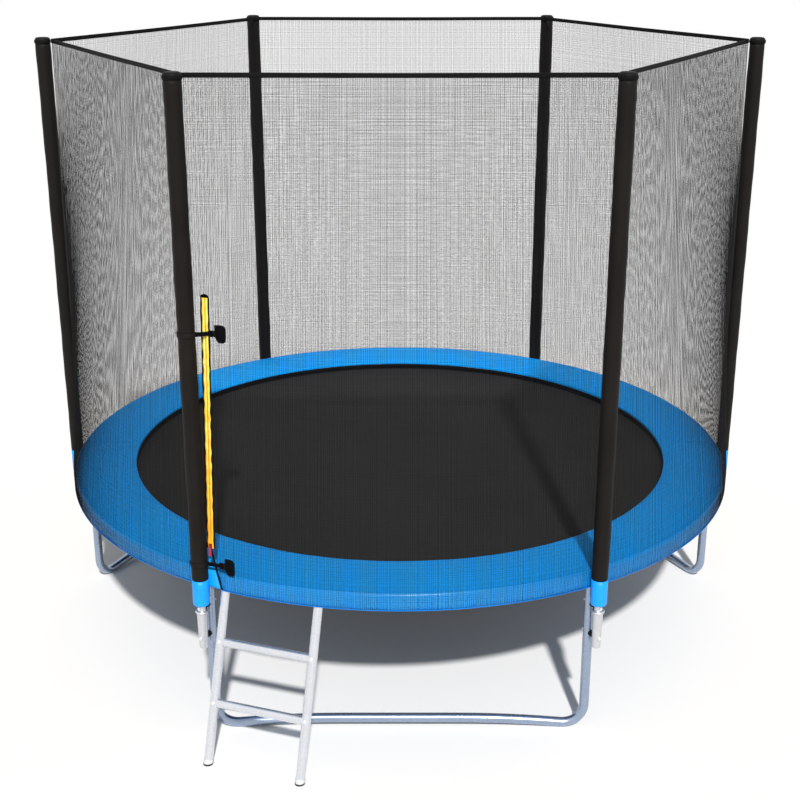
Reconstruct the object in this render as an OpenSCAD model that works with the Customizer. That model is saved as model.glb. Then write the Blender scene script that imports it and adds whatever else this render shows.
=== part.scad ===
// Round garden trampoline: a steel ring on three W-shaped legs, a sprung mat, a safety pad,
// six padded poles with a net that hangs from pole top to pole top, a zipped door and a ladder.
// Millimetres. The origin is on the ground under the middle of the mat, +Z is up,
// and the door and the ladder face -Y.

/* [Ring] */
// Radius of the ring, to the middle of its tube
ring_r = 1233; // [1150:1:1400]
// Outer diameter of the ring tube
ring_d = 35; // [33:0.5:36]
// Wall of the ring and leg tubes
tube_wall = 1.5; // [1.2:0.1:2]
// Height of the middle of the ring tube above the ground
ring_z = 566; // [500:1:800]
// Length of the spigot that joins one rail of the ring to the next
rail_spigot_len = 40; // [25:1:60]

/* [Legs] */
// Outer diameter of the leg tubes
leg_d = 32; // [28:0.5:33]
// Height of the seam between the leg base and its extension
seam_z = 161; // [140:1:260]
// Length of the swaged end of the extension inside the base
leg_spigot_len = 45; // [30:1:50]
// Radius of the bends in the leg base, to the middle of the tube
leg_bend_r = 70; // [60:1:90]
// How far the middle of the base stands above its two ground points
base_rise = 17; // [12:1:40]
// Slope of the base tube between a ground point and the raised middle
base_slope = 5.5; // [5.5:0.5:7]

/* [Poles] */
// Gap between a leg and its pole, which the spacers fill
pole_gap = 17; // [14:0.5:22]
// Outer diameter of the upper pole tube
pole_d = 26; // [22:0.5:27]
// Wall of the upper pole tube
pole_wall = 1.2; // [1:0.1:2]
// Depth of the foot of the lower pole below the middle of the ring tube
pole_foot_drop = 237; // [226:1:266]
// Depth of the top of the collar on the lower pole below the middle of the ring tube
collar_drop = 103; // [103:1:111]
// Outer diameter of the collar
collar_d = 43; // [41:0.5:44]
// Outer diameter of the lower pole under its collar
lower_pole_top_d = 34.6; // [33:0.2:36]
// Outer diameter of the lower pole at its foot
lower_pole_foot_d = 29; // [28.5:0.2:31]
// Height of the top of the pole tubes
pole_top_z = 2150; // [1900:1:2400]
// Depth of the lower bolt of each pole below the middle of the ring tube
lower_bolt_drop = 202; // [186:1:204]
// Depth of the upper bolt of each pole below the middle of the ring tube
upper_bolt_drop = 94; // [92:1:94]

/* [Foam sleeves] */
// Outer diameter of the foam sleeve on each pole
sleeve_d = 55; // [52:0.5:55]
// Height of the lower end of the foam above the middle of the ring tube
sleeve_foot_rise = 9; // [4:1:54]
// Depth of the lower end of the coloured sleeve end below the middle of the ring tube
sleeve_end_drop = 79; // [66:1:82]
// Outer diameter of the coloured sleeve end
sleeve_end_d = 52; // [50:0.5:54]
// Height of the rounded cap on each pole
cap_h = 22; // [21:1:40]

/* [Safety pad] */
// Width of the pad
pad_w = 230; // [218:0.5:298]
// Gap between the ring tube and the skirt of the pad
skirt_gap = 6.7; // [6.5:0.1:7]
// Thickness of the pad's cover cloth
cover_wall = 1.3; // [1:0.1:1.5]
// Gap between the top of the ring tube and the underside of the pad
pad_gap = 6; // [5.5:0.5:12]
// Thickness of the pad in the middle of its crown
pad_h = 16.5; // [14:0.5:40]
// How far the crown of the pad falls to its two edges
pad_crown = 6; // [2:0.5:8]
// Height of the skirt, from the underside of the pad to the hem
skirt_h = 46; // [25:1:60]
// Number of elastic ties that hold the pad to the ring
tie_count = 12; // [6:6:12]
// Width of a pad tie
tie_w = 20; // [10:1:30]

/* [Mat and springs] */
// Length of a mat ring, from its base in the border to its tip
mat_ring_len = 31; // [26:0.5:60]
// Thickness of the mat
mat_h = 2; // [1.5:0.1:2.4]
// Width of the border webbing outside the edge of the mat
border_w = 22; // [18:1:24]
// Thickness of the border webbing
border_h = 7; // [6:0.5:9]
// Number of springs
spring_count = 48; // [36:6:48]
// Outer diameter of a spring's coil
spring_d = 17; // [12:0.5:20]
// Diameter of the spring wire
wire_d = 3.2; // [2.6:0.1:3.6]
// Length of a spring's coil
coil_len = 100; // [70:1:105]
// Length of the hook at each end of a spring
hook_len = 17; // [14:1:20]

/* [Net] */
// Width of a net strand
strand_w = 4; // [2:0.5:6]
// Thickness of a net strand
strand_h = 2.4; // [1.2:0.1:2.8]
// Number of net columns between two poles
net_columns = 8; // [4:1:8]
// Height of the webbing along the top of the net
band_h = 12; // [8:1:30]
// Thickness of the webbing along the top of the net
band_t = 2.4; // [1.6:0.1:3]
// Gap between two lengths of the top band where they meet in a loop
band_seam = 0.3; // [0.2:0.1:0.8]
// Diameter of the cord in the hem of the net
hem_d = 3.6; // [2.4:0.2:3.6]

/* [Door] */
// Height of the lower end of the zip above the middle of the ring tube
zip_foot_rise = 117; // [94:1:134]
// Height of the upper end of the zip
zip_top_z = 1507; // [1450:1:1600]
// Angle from the pole to the lower end of the zip
zip_foot_a = 1.62; // [1.6:0.02:1.8]
// Angle from the pole to the upper end of the zip
zip_top_a = 2.06; // [1.9:0.02:2.2]
// Angle from the pole to the lower corner of the door
door_foot_a = 3.25; // [3:0.05:4]
// Width of the zip tape
zip_w = 16; // [14:0.5:17]
// Length of the zip slider
slider_len = 16; // [12:1:20]
// Length of the zip pull
pull_len = 26; // [20:1:40]
// Height of the middle of the upper door strap
upper_strap_z = 1395; // [1340:1:1400]
// Height of the middle of the lower door strap above the middle of the ring tube
lower_strap_rise = 68; // [59:1:74]
// Width of the strap webbing
strap_w = 14; // [10:1:18]
// Height of the tab that holds a clip to the net
tab_h = 56; // [40:1:60]
// Length of the tab that holds a clip to the net
tab_len = 36; // [30:1:45]

/* [Ladder] */
// Angle of the ladder round the ring, from the pole beside the door
ladder_a = 10.7; // [10.5:0.1:11]
// Distance between the two rails, axis to axis
rail_gap = 321; // [300:1:330]
// Outer diameter of the rails
rail_d = 29.5; // [26:0.5:30]
// How far the feet stand out from the ring
ladder_reach = 180; // [147:1:267]
// Outer diameter of the rungs
rung_d = 29; // [22:0.5:29]
// Number of rungs
rung_count = 2; // [2:1:3]
// Thickness of the hook strap on top of each rail
hook_t = 3; // [2:0.5:3]
// Width of the hook strap on top of each rail
hook_w = 20; // [14:1:20]

/* [Bolts] */
// Diameter of the bolt shanks
bolt_d = 6; // [5:0.5:6]
// Diameter of the bolt heads
head_d = 11; // [9:0.5:12]
// Height of the bolt heads
head_h = 4; // [3:0.5:5]
// Height of the nuts
nut_h = 7; // [5:0.5:8]
// Width of the nuts across their corners
nut_d = 11.5; // [10:0.5:12]

/* [Hidden] */
$fn = 48;
$fa = 4;

// Clearances: a push fit between tubes, a running fit, and a seat that only just clears
push = 0.15;
running = 0.05;
seat = 0.3;
// Overlap that joins two shapes of one solid, and how far a cutter runs past a face
weld = 0.5;
past = 1;

// The poles stand at multiples of this angle; the door is beside pole 5
sides = 6;
side_a = 360 / sides;
door_pole = 4;
door_a = door_pole * side_a;
apothem = cos(side_a / 2);

// Ring and legs
leg_in_d = leg_d - 2 * tube_wall;
ring_in_r = ring_r - ring_d / 2;
stub_len = 60;

// Leg base, worked out along its plane: u runs along the chord, w is the height
base_u = ring_r * sin(side_a / 2);
bend_w = leg_d / 2 + leg_bend_r;
crest_bend_r = base_rise / (1 - cos(base_slope)) - leg_bend_r;
base_mid_u = base_u - leg_bend_r - (leg_bend_r + crest_bend_r) * sin(base_slope);

// Poles: a lower one, its collar and its two bolts, hung from the ring's height
pole_circle_r = ring_r + leg_d / 2 + pole_gap + pole_d / 2;
pole_foot_z = ring_z - pole_foot_drop;
collar_top_z = ring_z - collar_drop;
lower_bolt_z = ring_z - lower_bolt_drop;
upper_bolt_z = ring_z - upper_bolt_drop;
sleeve_foot_z = ring_z + sleeve_foot_rise;
sleeve_end_z = ring_z - sleeve_end_drop;
zip_foot_z = ring_z + zip_foot_rise;
lower_strap_z = ring_z + lower_strap_rise;

// Lower pole: a collar on a tapered tube, with a stepped bore that the upper pole stands in
collar_h = 9;
lower_pole_wall = 1.2;
pole_seat_z = lower_bolt_z - 8;
sleeve_top_z = pole_top_z - 10;
spacer_d = 20;
function lower_pole_d(z) =
    lower_pole_foot_d + (lower_pole_top_d - lower_pole_foot_d) * (z - pole_foot_z) / (collar_top_z - pole_foot_z);

// Safety pad
skirt_in_r = ring_r + ring_d / 2 + skirt_gap;
pad_out_r = skirt_in_r + cover_wall;
pad_in_r = pad_out_r - pad_w;
pad_foot_z = ring_z + ring_d / 2 + pad_gap;
pad_edge_h = pad_h - pad_crown;
pad_half = pad_w / 2;
pad_crown_r = (pow(pad_half, 2) + pow(pad_crown, 2)) / (2 * pad_crown);
skirt_foot_z = pad_foot_z - skirt_h;

// Mat, border, rings and springs, worked out from the ring inwards
v_wire_w = 2.6;
v_wire_d = v_wire_w * sqrt(2);
spring_out_r = ring_in_r - hook_len + 1;
spring_in_r = spring_out_r - coil_len;
hook_bend_r = (v_wire_d + wire_d) / 2 + 0.2;
v_tip_r = spring_in_r - hook_len + hook_bend_r;
v_base_r = v_tip_r - mat_ring_len;
ring_tuck = 7;
border_out_r = v_base_r + ring_tuck;
mat_r = border_out_r - border_w;
spring_offset_a = 1.9;
hook_tip = 7;

// Net: ruled from the round hem to the hexagon at the pole tops
net_foot_z = skirt_foot_z + hem_d / 2 + seat;
net_fold_z = pad_foot_z + pad_edge_h + 3;
net_top_z = pole_top_z - 8 + seat;
hem_r = pad_out_r + hem_d / 2 + 0.2;
net_foot_r = (pad_out_r + seat + strand_h / 2) / cos(side_a / net_columns / 2) + 0.1;
net_top_r = pole_circle_r - sleeve_d / 2 - 2.5;
net_squeeze = strand_h / 2 + 0.4;
net_end_a = 0.12;
door_columns = net_columns + 2;
zip_gap_a = (zip_w / 2 + seat + strand_w / 2) / net_top_r * 180 / PI;
net_rows = 7;
zip_first_row = 2;
zip_last_row = 5;
row_step = (zip_top_z - zip_foot_z) / (zip_last_row - zip_first_row);
top_step = (net_top_z - zip_top_z) / (net_rows - zip_last_row);

// Door clips
clip_h = 5;
clip_gap = 1;
buckle_len = 16;
buckle_w = 20;
prong_len = 10;
upper_clip_a = 2.5;
lower_clip_a = 3.18;
zip_t = 1.6;
zip_ridge_w = 6;
zip_ridge_h = 1.2;
slider_w = 11;
slider_t = 1.8;
bridge_d = 2;
bridge_h = 2.1;

// Ladder, in its own frame: x along the rungs, -y outwards
ladder_dir = door_a + ladder_a;
ladder_foot_r = ring_r + ladder_reach;
ladder_top_y = -sqrt(pow(ring_r, 2) - pow(rail_gap / 2, 2));
ladder_lean = atan((ladder_foot_r + ladder_top_y) / ring_z);
rail_len = ring_z / cos(ladder_lean);
hook_in_r = ring_d / 2 + 1.5;
foot_cap_t = 1.5;
foot_cap_h = 16;
rung_plug_d = 18;

// ---- helpers ----

// Turns the children to the angle a, at the distance r from the ring's axis
module at(a, r = 0, z = 0) {
    rotate([0, 0, a])
        translate([r, 0, z])
            children();
}

// A tube bend in the XY plane, from angle 0 to angle a
module bend(bend_r, tube_d, a) {
    rotate_extrude(angle = a)
        translate([bend_r, 0])
            circle(d = tube_d);
}

// A round bar between two points
module bar(p, q, d) {
    v = q - p;
    translate(p)
        rotate([0, acos(v[2] / norm(v)), atan2(v[1], v[0])])
            cylinder(d = d, h = norm(v));
}

// A cylinder whose axis points away from the ring's axis, from radius r0 to r1
module radial_bar(r0, r1, d, z) {
    translate([r0, 0, z])
        rotate([0, 90, 0])
            cylinder(d = d, h = r1 - r0);
}

module ring_bar(d, a) {
    translate([0, 0, ring_z])
        bend(ring_r, d, a);
}

// ---- ring and legs ----

module frame_rail(index) {
    start = (index - 0.5) * side_a;
    spigot_d = ring_d - 2 * tube_wall - 2 * push;
    spigot_a = rail_spigot_len / ring_r * 180 / PI;
    stub_d = leg_in_d - 2 * push;
    weld_z = ring_z - ring_d / 2 + tube_wall;
    neck_a = 0.6;
    color("gainsboro") difference() {
        union() {
            at(start) ring_bar(ring_d, side_a);
            at(start - spigot_a) ring_bar(spigot_d, spigot_a + neck_a / 2);
            at(start + side_a / 2, ring_r, weld_z - stub_len)
                cylinder(d = stub_d, h = stub_len);
        }
        at(start + neck_a) ring_bar(ring_d - 2 * tube_wall, side_a);
        at(start - spigot_a - 1) ring_bar(spigot_d - 2 * tube_wall, spigot_a + 1 + 2 * neck_a);
        at(start + side_a / 2, ring_r, weld_z - stub_len - past)
            cylinder(d = stub_d - 2 * tube_wall, h = stub_len);
        for (k = [0 : spring_count / sides - 1])
            at(start + (k + 0.5) * 360 / spring_count + spring_offset_a - 180 / spring_count)
                radial_bar(ring_in_r - 3, ring_in_r + 5, wire_d + 2, ring_z);
    }
}

module leg_bolt_holes() {
    for (z = [lower_bolt_z, upper_bolt_z])
        radial_bar(ring_r - leg_d, ring_r + leg_d, bolt_d + 2 * push, z);
}

module leg_extension(index) {
    spigot_d = leg_in_d - 2 * push;
    color("gainsboro") at(index * side_a) difference() {
        union() {
            translate([ring_r, 0, seam_z])
                cylinder(d = leg_d, h = ring_z - seam_z);
            translate([ring_r, 0, seam_z - leg_spigot_len])
                cylinder(d = spigot_d, h = leg_spigot_len + weld);
        }
        translate([ring_r, 0, seam_z + 8])
            cylinder(d = leg_in_d, h = ring_z - seam_z);
        translate([ring_r, 0, seam_z - leg_spigot_len - past])
            cylinder(d = spigot_d - 2 * tube_wall, h = leg_spigot_len + 10);
        translate([ring_r, leg_d, ring_z])
            rotate([90, 0, 0])
                cylinder(d = ring_d + 2 * seat, h = 2 * leg_d);
        leg_bolt_holes();
    }
}

// One end of a leg base: the upright, its tight bend past the floor's level, then the wide bend back up
module base_end(d, extra) {
    translate([base_u - leg_bend_r, bend_w, 0]) {
        translate([leg_bend_r, 0, 0])
            rotate([-90, 0, 0])
                cylinder(d = d, h = seam_z - bend_w + extra);
        rotate([0, 0, -90 - base_slope])
            bend(leg_bend_r, d, 90 + base_slope);
        rotate([0, 0, -90 - base_slope])
            translate([leg_bend_r + crest_bend_r, 0, 0])
                rotate([0, 0, 180])
                    bend(crest_bend_r, d, base_slope);
    }
}

module base_path(d, extra) {
    base_end(d, extra);
    mirror([1, 0, 0])
        base_end(d, extra);
    translate([-base_mid_u, leg_d / 2 + base_rise, 0])
        rotate([0, 90, 0])
            cylinder(d = d, h = 2 * base_mid_u);
}

// Leg base whose middle faces the angle a
module leg_base(a) {
    color("gainsboro")
        rotate([0, 0, a + 90])
            translate([0, -ring_r * apothem, 0])
                rotate([90, 0, 0])
                    difference() {
                        base_path(leg_d, 0);
                        base_path(leg_in_d, past);
                    }
}

// ---- poles ----

module lower_poles() {
    bore_d = pole_d + 2 * push;
    color("lightgray") for (k = [0 : sides - 1])
        at(k * side_a) difference() {
            translate([pole_circle_r, 0, 0]) difference() {
                union() {
                    translate([0, 0, pole_foot_z])
                        cylinder(d1 = lower_pole_foot_d, d2 = lower_pole_top_d, h = collar_top_z - pole_foot_z);
                    translate([0, 0, collar_top_z - collar_h / 2])
                        rotate_extrude()
                            translate([collar_d / 2 - collar_h / 2, 0])
                                circle(d = collar_h);
                    translate([0, 0, collar_top_z - collar_h])
                        cylinder(d = collar_d - collar_h, h = collar_h);
                }
                translate([0, 0, pole_seat_z])
                    cylinder(d = bore_d, h = collar_top_z);
                translate([0, 0, pole_foot_z - past])
                    cylinder(d = pole_d - 2 * pole_wall, h = collar_top_z);
            }
            radial_bar(pole_circle_r - pole_d, pole_circle_r + pole_d, bolt_d + 2 * push, lower_bolt_z);
        }
}

module upper_pole(index) {
    color("lightgray") at(index * side_a) difference() {
        translate([pole_circle_r, 0, pole_seat_z])
            cylinder(d = pole_d, h = pole_top_z - pole_seat_z);
        translate([pole_circle_r, 0, pole_seat_z - past])
            cylinder(d = pole_d - 2 * pole_wall, h = pole_top_z);
        for (z = [lower_bolt_z, upper_bolt_z])
            radial_bar(pole_circle_r - pole_d, pole_circle_r + pole_d, bolt_d + 2 * push, z);
    }
}

// The space of the net and the skirt at a pole, which the soft sleeves are pressed in by
module net_space(index) {
    low = skirt_foot_z - 8;
    reach = 80;
    lean = atan((net_foot_r - net_top_r) / (net_top_z - net_fold_z));
    at(index * side_a, net_foot_r + net_squeeze + (net_fold_z - low) * tan(lean), low)
        rotate([0, -lean, 0])
            translate([-reach, -reach, 0])
                cube([reach, 2 * reach, pole_top_z + cap_h - low]);
}

module sleeve_tube(index, d, z0, z1) {
    at(index * side_a, pole_circle_r, z0) difference() {
        cylinder(d = d, h = z1 - z0);
        translate([0, 0, -past])
            cylinder(d = pole_d + 2 * push, h = z1 - z0 + 2 * past);
    }
}

module foam_sleeve(index) {
    color([0.16, 0.15, 0.15]) difference() {
        sleeve_tube(index, sleeve_d, sleeve_foot_z, sleeve_top_z);
        net_space(index);
    }
}

module sleeve_ends() {
    rim_r = 9;
    color("dodgerblue") for (k = [0 : sides - 1])
        difference() {
            union() {
                sleeve_tube(k, sleeve_end_d, sleeve_end_z + rim_r, sleeve_foot_z);
                sleeve_tube(k, sleeve_end_d - 2 * rim_r, sleeve_end_z, sleeve_end_z + 2 * rim_r);
                at(k * side_a, pole_circle_r, sleeve_end_z + rim_r)
                    rotate_extrude()
                        translate([sleeve_end_d / 2 - rim_r, 0])
                            circle(r = rim_r);
            }
            at(k * side_a, pole_circle_r, sleeve_end_z - past)
                cylinder(d = pole_d + 2 * push, h = 2 * rim_r + 2 * past);
            net_space(k);
        }
}

module pole_caps() {
    edge_r = 10;
    color([0.16, 0.15, 0.15]) for (k = [0 : sides - 1])
        at(k * side_a, pole_circle_r, sleeve_top_z) difference() {
            union() {
                cylinder(d = sleeve_d, h = cap_h - edge_r);
                cylinder(d = sleeve_d - 2 * edge_r, h = cap_h);
                translate([0, 0, cap_h - edge_r])
                    rotate_extrude()
                        translate([sleeve_d / 2 - edge_r, 0])
                            circle(r = edge_r);
            }
            translate([0, 0, -past])
                cylinder(d = pole_d + 2 * push, h = pole_top_z - sleeve_top_z + past);
        }
}

// Round bushes with a saddle at each end, between the legs and the poles
module pole_spacers() {
    color([0.12, 0.12, 0.12]) for (k = [0 : sides - 1], z = [lower_bolt_z, upper_bolt_z])
        at(k * side_a) difference() {
            radial_bar(ring_r, pole_circle_r, spacer_d, z);
            radial_bar(ring_r - past, pole_circle_r + past, bolt_d + 2 * push, z);
            translate([ring_r, 0, z - spacer_d])
                cylinder(d = leg_d, h = 2 * spacer_d);
            translate([pole_circle_r, 0, pole_foot_z])
                cylinder(d1 = lower_pole_foot_d, d2 = lower_pole_top_d, h = collar_top_z - pole_foot_z);
            translate([pole_circle_r, 0, collar_top_z - collar_h])
                cylinder(d = collar_d + 2 * seat, h = collar_h + seat);
            translate([pole_circle_r, 0, collar_top_z])
                cylinder(d = pole_d, h = spacer_d * 2);
        }
}

module bolt(length) {
    cylinder(d = bolt_d, h = length);
    translate([0, 0, length])
        intersection() {
            cylinder(d = head_d, h = head_h);
            translate([0, 0, head_h - head_d])
                sphere(r = head_d);
        }
}

module nut() {
    difference() {
        cylinder(d = nut_d, h = nut_h, $fn = 6);
        translate([0, 0, -past])
            cylinder(d = bolt_d + 2 * running, h = nut_h + 2 * past);
    }
}

// Places the children at each ladder bolt, with z along the bolt and 0 at the rail's axis
module at_ladder_bolts() {
    for (side = [-1, 1], n = [1 : rung_count])
        on_rail(side, rail_len * n / (rung_count + 1))
            rotate([90, 0, 0])
                children();
}

pole_bolt_start = ring_r - leg_d / 2 - nut_h;

module bolts() {
    color("whitesmoke") {
        for (k = [0 : sides - 1]) {
            at(k * side_a, pole_bolt_start, lower_bolt_z)
                rotate([0, 90, 0])
                    bolt(pole_circle_r + lower_pole_d(lower_bolt_z + head_d / 2) / 2 - pole_bolt_start);
            at(k * side_a, pole_bolt_start, upper_bolt_z)
                rotate([0, 90, 0])
                    bolt(pole_circle_r + pole_d / 2 - pole_bolt_start);
        }
        at_ladder_bolts()
            translate([0, 0, -rail_d / 2 - nut_h])
                bolt(rail_d + nut_h);
    }
}

module nuts() {
    color("dimgray") {
        for (k = [0 : sides - 1], z = [lower_bolt_z, upper_bolt_z])
            at(k * side_a, pole_bolt_start, z)
                rotate([0, 90, 0])
                    nut();
        at_ladder_bolts()
            translate([0, 0, -rail_d / 2 - nut_h])
                nut();
    }
}

// ---- mat, springs and pad ----

module springs() {
    color("silver") for (k = [0 : spring_count - 1])
        at(k * 360 / spring_count + spring_offset_a, 0, ring_z) {
            radial_bar(spring_in_r, spring_out_r, spring_d, 0);
            radial_bar(spring_out_r - weld, ring_in_r + hook_tip, wire_d, 0);
            translate([ring_in_r + hook_tip, 0, 0])
                sphere(d = wire_d);
            bar([ring_in_r + hook_tip, 0, 0], [ring_in_r + hook_tip, 0, -hook_tip], wire_d);
            radial_bar(v_tip_r + hook_bend_r, spring_in_r + weld, wire_d, 0);
            translate([v_tip_r, 0, 0])
                rotate([90, 0, 0])
                    bend(hook_bend_r, wire_d, 250);
        }
}

// Four-cornered rings of square wire, sewn into the border of the mat
module v_rings() {
    half_base = 22;
    half_tip = 4;
    w = v_wire_w / 2;
    color("silver") for (k = [0 : spring_count - 1])
        at(k * 360 / spring_count + spring_offset_a, 0, ring_z - w)
            linear_extrude(v_wire_w)
                difference() {
                    polygon([[v_base_r - w, -half_base - w], [v_tip_r + w, -half_tip - w],
                             [v_tip_r + w, half_tip + w], [v_base_r - w, half_base + w]]);
                    polygon([[v_base_r + w, -half_base + w], [v_tip_r - w, -half_tip],
                             [v_tip_r - w, half_tip], [v_base_r + w, half_base - w]]);
                }
}

module jump_mat() {
    color([0.2, 0.2, 0.2])
        translate([0, 0, ring_z - mat_h / 2])
            cylinder(r = mat_r, h = mat_h, $fn = 180);
}

// Folded webbing that grips the edge of the mat
module mat_border() {
    lap = 12;
    color([0.1, 0.1, 0.1])
        translate([0, 0, ring_z])
            rotate_extrude($fn = 180)
                difference() {
                    translate([mat_r - lap, -border_h / 2])
                        square([lap + border_w, border_h]);
                    translate([mat_r - lap - past, -mat_h / 2])
                        square([lap + past, mat_h]);
                }
}

// Section of the pad, drawn in by inset: a crowned cushion with round edges
module pad_section(inset) {
    edge = pad_edge_h / 2 - inset;
    intersection() {
        translate([pad_in_r + inset + edge, pad_foot_z + inset])
            square([pad_out_r - pad_in_r - 2 * inset - 2 * edge, pad_h - 2 * inset]);
        translate([pad_in_r + pad_half, pad_foot_z + pad_h - pad_crown_r])
            circle(r = pad_crown_r - inset, $fn = 360);
    }
    for (x = [pad_in_r + inset + edge, pad_out_r - inset - edge])
        translate([x, pad_foot_z + pad_edge_h / 2])
            circle(r = edge);
}

module pad_cover() {
    color([0.14, 0.51, 0.88])
        rotate_extrude($fn = 180)
            difference() {
                union() {
                    pad_section(0);
                    translate([skirt_in_r, skirt_foot_z])
                        square([cover_wall, skirt_h + pad_edge_h / 2]);
                }
                pad_section(cover_wall);
            }
}

module pad_foam() {
    color("ivory")
        rotate_extrude($fn = 180)
            pad_section(cover_wall);
}

// Elastic loops under the pad, round the ring tube
module pad_ties() {
    tie_t = 1.4;
    loop_d = ring_d + 2 * push;
    color([0.1, 0.1, 0.1]) for (k = [0 : tie_count - 1])
        at((k + 0.5) * 360 / tie_count, ring_r, ring_z) {
            rotate([90, 0, 0]) difference() {
                translate([0, 0, -tie_w / 2])
                    cylinder(d = loop_d + 2 * tie_t, h = tie_w);
                translate([0, 0, -tie_w])
                    cylinder(d = loop_d, h = 2 * tie_w);
            }
            translate([-5, -tie_w / 2, loop_d / 2 + tie_t / 2])
                cube([10, tie_w, ring_d / 2 + pad_gap - loop_d / 2 - tie_t / 2]);
        }
}

// ---- net ----

function hexagon_r(a) = net_top_r * apothem / cos((a + 360) % side_a - side_a / 2);
function net_r(a, z) =
    net_foot_r + (hexagon_r(a) - net_foot_r) * max(z - net_fold_z, 0) / (net_top_z - net_fold_z);
function net_point(a, z, out = 0) = [(net_r(a, z) + out) * cos(a), (net_r(a, z) + out) * sin(a), z];

// Height of the middle of each cross strand
function row_z(row) =
    row == 0 ? net_foot_z + strand_w / 2 :
    row == 1 ? net_fold_z :
    row <= zip_last_row ? zip_foot_z + (row - zip_first_row) * row_step :
    zip_top_z + (row - zip_last_row) * top_step - (row == net_rows ? strand_w / 2 : 0);

// Angle of the zip at a height, from the door's pole
function zip_a(z) =
    z < zip_foot_z ? zip_foot_a + (door_foot_a - zip_gap_a - zip_foot_a) * (zip_foot_z - z) / (zip_foot_z - net_foot_z) :
    zip_foot_a + (zip_top_a - zip_foot_a) * (min(z, zip_top_z) - zip_foot_z) / (zip_top_z - zip_foot_z);

// Angle of the middle of an upright strand, from the pole where its panel starts
function plain_a(column, z) = net_end_a + (side_a - 2 * net_end_a) * column / net_columns;
function door_column_a(column, z) =
    column == 0 ? net_end_a :
    column == 1 ? zip_a(z) - zip_gap_a :
    column == 2 ? zip_a(z) + zip_gap_a :
    door_foot_a + (side_a - net_end_a - door_foot_a) * (column - 2) / (door_columns - 2);

// Cells of the lattice: even ones are strands, odd ones the gaps between them
function is_strand(i, j, door) =
    i < 0 || j < 0 || i > 2 * (door ? door_columns : net_columns) || j > 2 * net_rows ? false :
    i % 2 == 1 && j % 2 == 1 ? false :
    door && i == 3 && j > 2 * zip_first_row && j < 2 * zip_last_row ? false :
    door && i <= 3 && j < 2 * zip_first_row ? false :
    true;

// Two triangles for each four-sided face
function split(quad) = [[quad[0], quad[1], quad[2]], [quad[0], quad[2], quad[3]]];

// A panel of net from the pole at start_a to the next, as one lattice
module net_panel(start_a, door) {
    columns = 2 * (door ? door_columns : net_columns) + 2;
    rows = 2 * net_rows + 2;
    half_a = strand_w / 2 / net_top_r * 180 / PI;
    points = [
        for (i = [0 : columns - 1], j = [0 : rows - 1], s = [-0.5, 0.5])
            let (z = row_z(floor(j / 2)) + (j % 2 - 0.5) * strand_w)
            let (mid = door ? door_column_a(floor(i / 2), z) : plain_a(floor(i / 2), z))
            net_point(start_a + mid + (i % 2 - 0.5) * 2 * half_a, z, s * strand_h)
    ];
    function id(i, j, s) = (i * rows + j) * 2 + s;
    quads = [
        for (i = [0 : columns - 2], j = [0 : rows - 2])
            if (is_strand(i, j, door))
                each concat(
                    [[id(i, j, 1), id(i, j + 1, 1), id(i + 1, j + 1, 1), id(i + 1, j, 1)],
                     [id(i, j, 0), id(i + 1, j, 0), id(i + 1, j + 1, 0), id(i, j + 1, 0)]],
                    is_strand(i - 1, j, door) ? [] :
                        [[id(i, j, 0), id(i, j + 1, 0), id(i, j + 1, 1), id(i, j, 1)]],
                    is_strand(i + 1, j, door) ? [] :
                        [[id(i + 1, j, 1), id(i + 1, j + 1, 1), id(i + 1, j + 1, 0), id(i + 1, j, 0)]],
                    is_strand(i, j - 1, door) ? [] :
                        [[id(i + 1, j, 1), id(i + 1, j, 0), id(i, j, 0), id(i, j, 1)]],
                    is_strand(i, j + 1, door) ? [] :
                        [[id(i, j + 1, 1), id(i, j + 1, 0), id(i + 1, j + 1, 0), id(i + 1, j + 1, 1)]])
    ];
    color([0.15, 0.15, 0.15])
        polyhedron(points, [for (quad = quads) each split(quad)], convexity = 12);
}

module hexagon_prism(r, h) {
    cylinder(r = r, h = h, $fn = 6);
}

// Webbing along the top of the net: six straight lengths that meet in the loops at the poles
module net_band() {
    color([0.1, 0.1, 0.1])
        translate([0, 0, net_top_z]) difference() {
            hexagon_prism(net_top_r + band_t / 2, band_h);
            translate([0, 0, -past])
                hexagon_prism(net_top_r - band_t / 2, band_h + 2 * past);
            for (k = [0 : sides - 1])
                rotate(k * side_a)
                    translate([net_top_r - 2 * band_t, -band_seam / 2, -past])
                        cube([4 * band_t, band_seam, band_h + 2 * past]);
        }
}

// Webbing loops that hold the band to the poles
module net_loops() {
    color([0.1, 0.1, 0.1]) difference() {
        for (k = [0 : sides - 1])
            at(k * side_a, pole_circle_r, net_top_z) difference() {
                cylinder(d = sleeve_d + 3, h = band_h - 2);
                translate([0, 0, -past])
                    cylinder(d = sleeve_d + 2 * push, h = band_h + past);
            }
        translate([0, 0, net_top_z - past])
            hexagon_prism(net_top_r + band_t / 2 + push, band_h + 2 * past);
    }
}

module net_hem() {
    start = door_a + door_foot_a - 0.1;
    color([0.1, 0.1, 0.1])
        at(start, 0, skirt_foot_z)
            rotate_extrude(angle = 360 - door_foot_a + 0.1, $fn = 180)
                translate([hem_r, 0])
                    circle(d = hem_d, $fn = 24);
}

// ---- door ----

zip_low = net_point(door_a + zip_a(zip_foot_z), zip_foot_z + strand_w / 2 + seat);
zip_high = net_point(door_a + zip_a(zip_top_z), zip_top_z - strand_w / 2 - seat);
zip_v = zip_high - zip_low;
zip_len = norm(zip_v);

// Turns the children so that z runs up the zip, x across it and -y out of the net
module on_zip(height) {
    lean = acos(zip_v[2] / zip_len);
    around = atan2(zip_v[1], zip_v[0]);
    facing = door_a + zip_foot_a + 90 - around + net_turn;
    translate(zip_low)
        rotate([0, 0, around])
            rotate([0, lean, 0])
                rotate([0, 0, facing])
                    translate([0, 0, height])
                        children();
}

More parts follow.
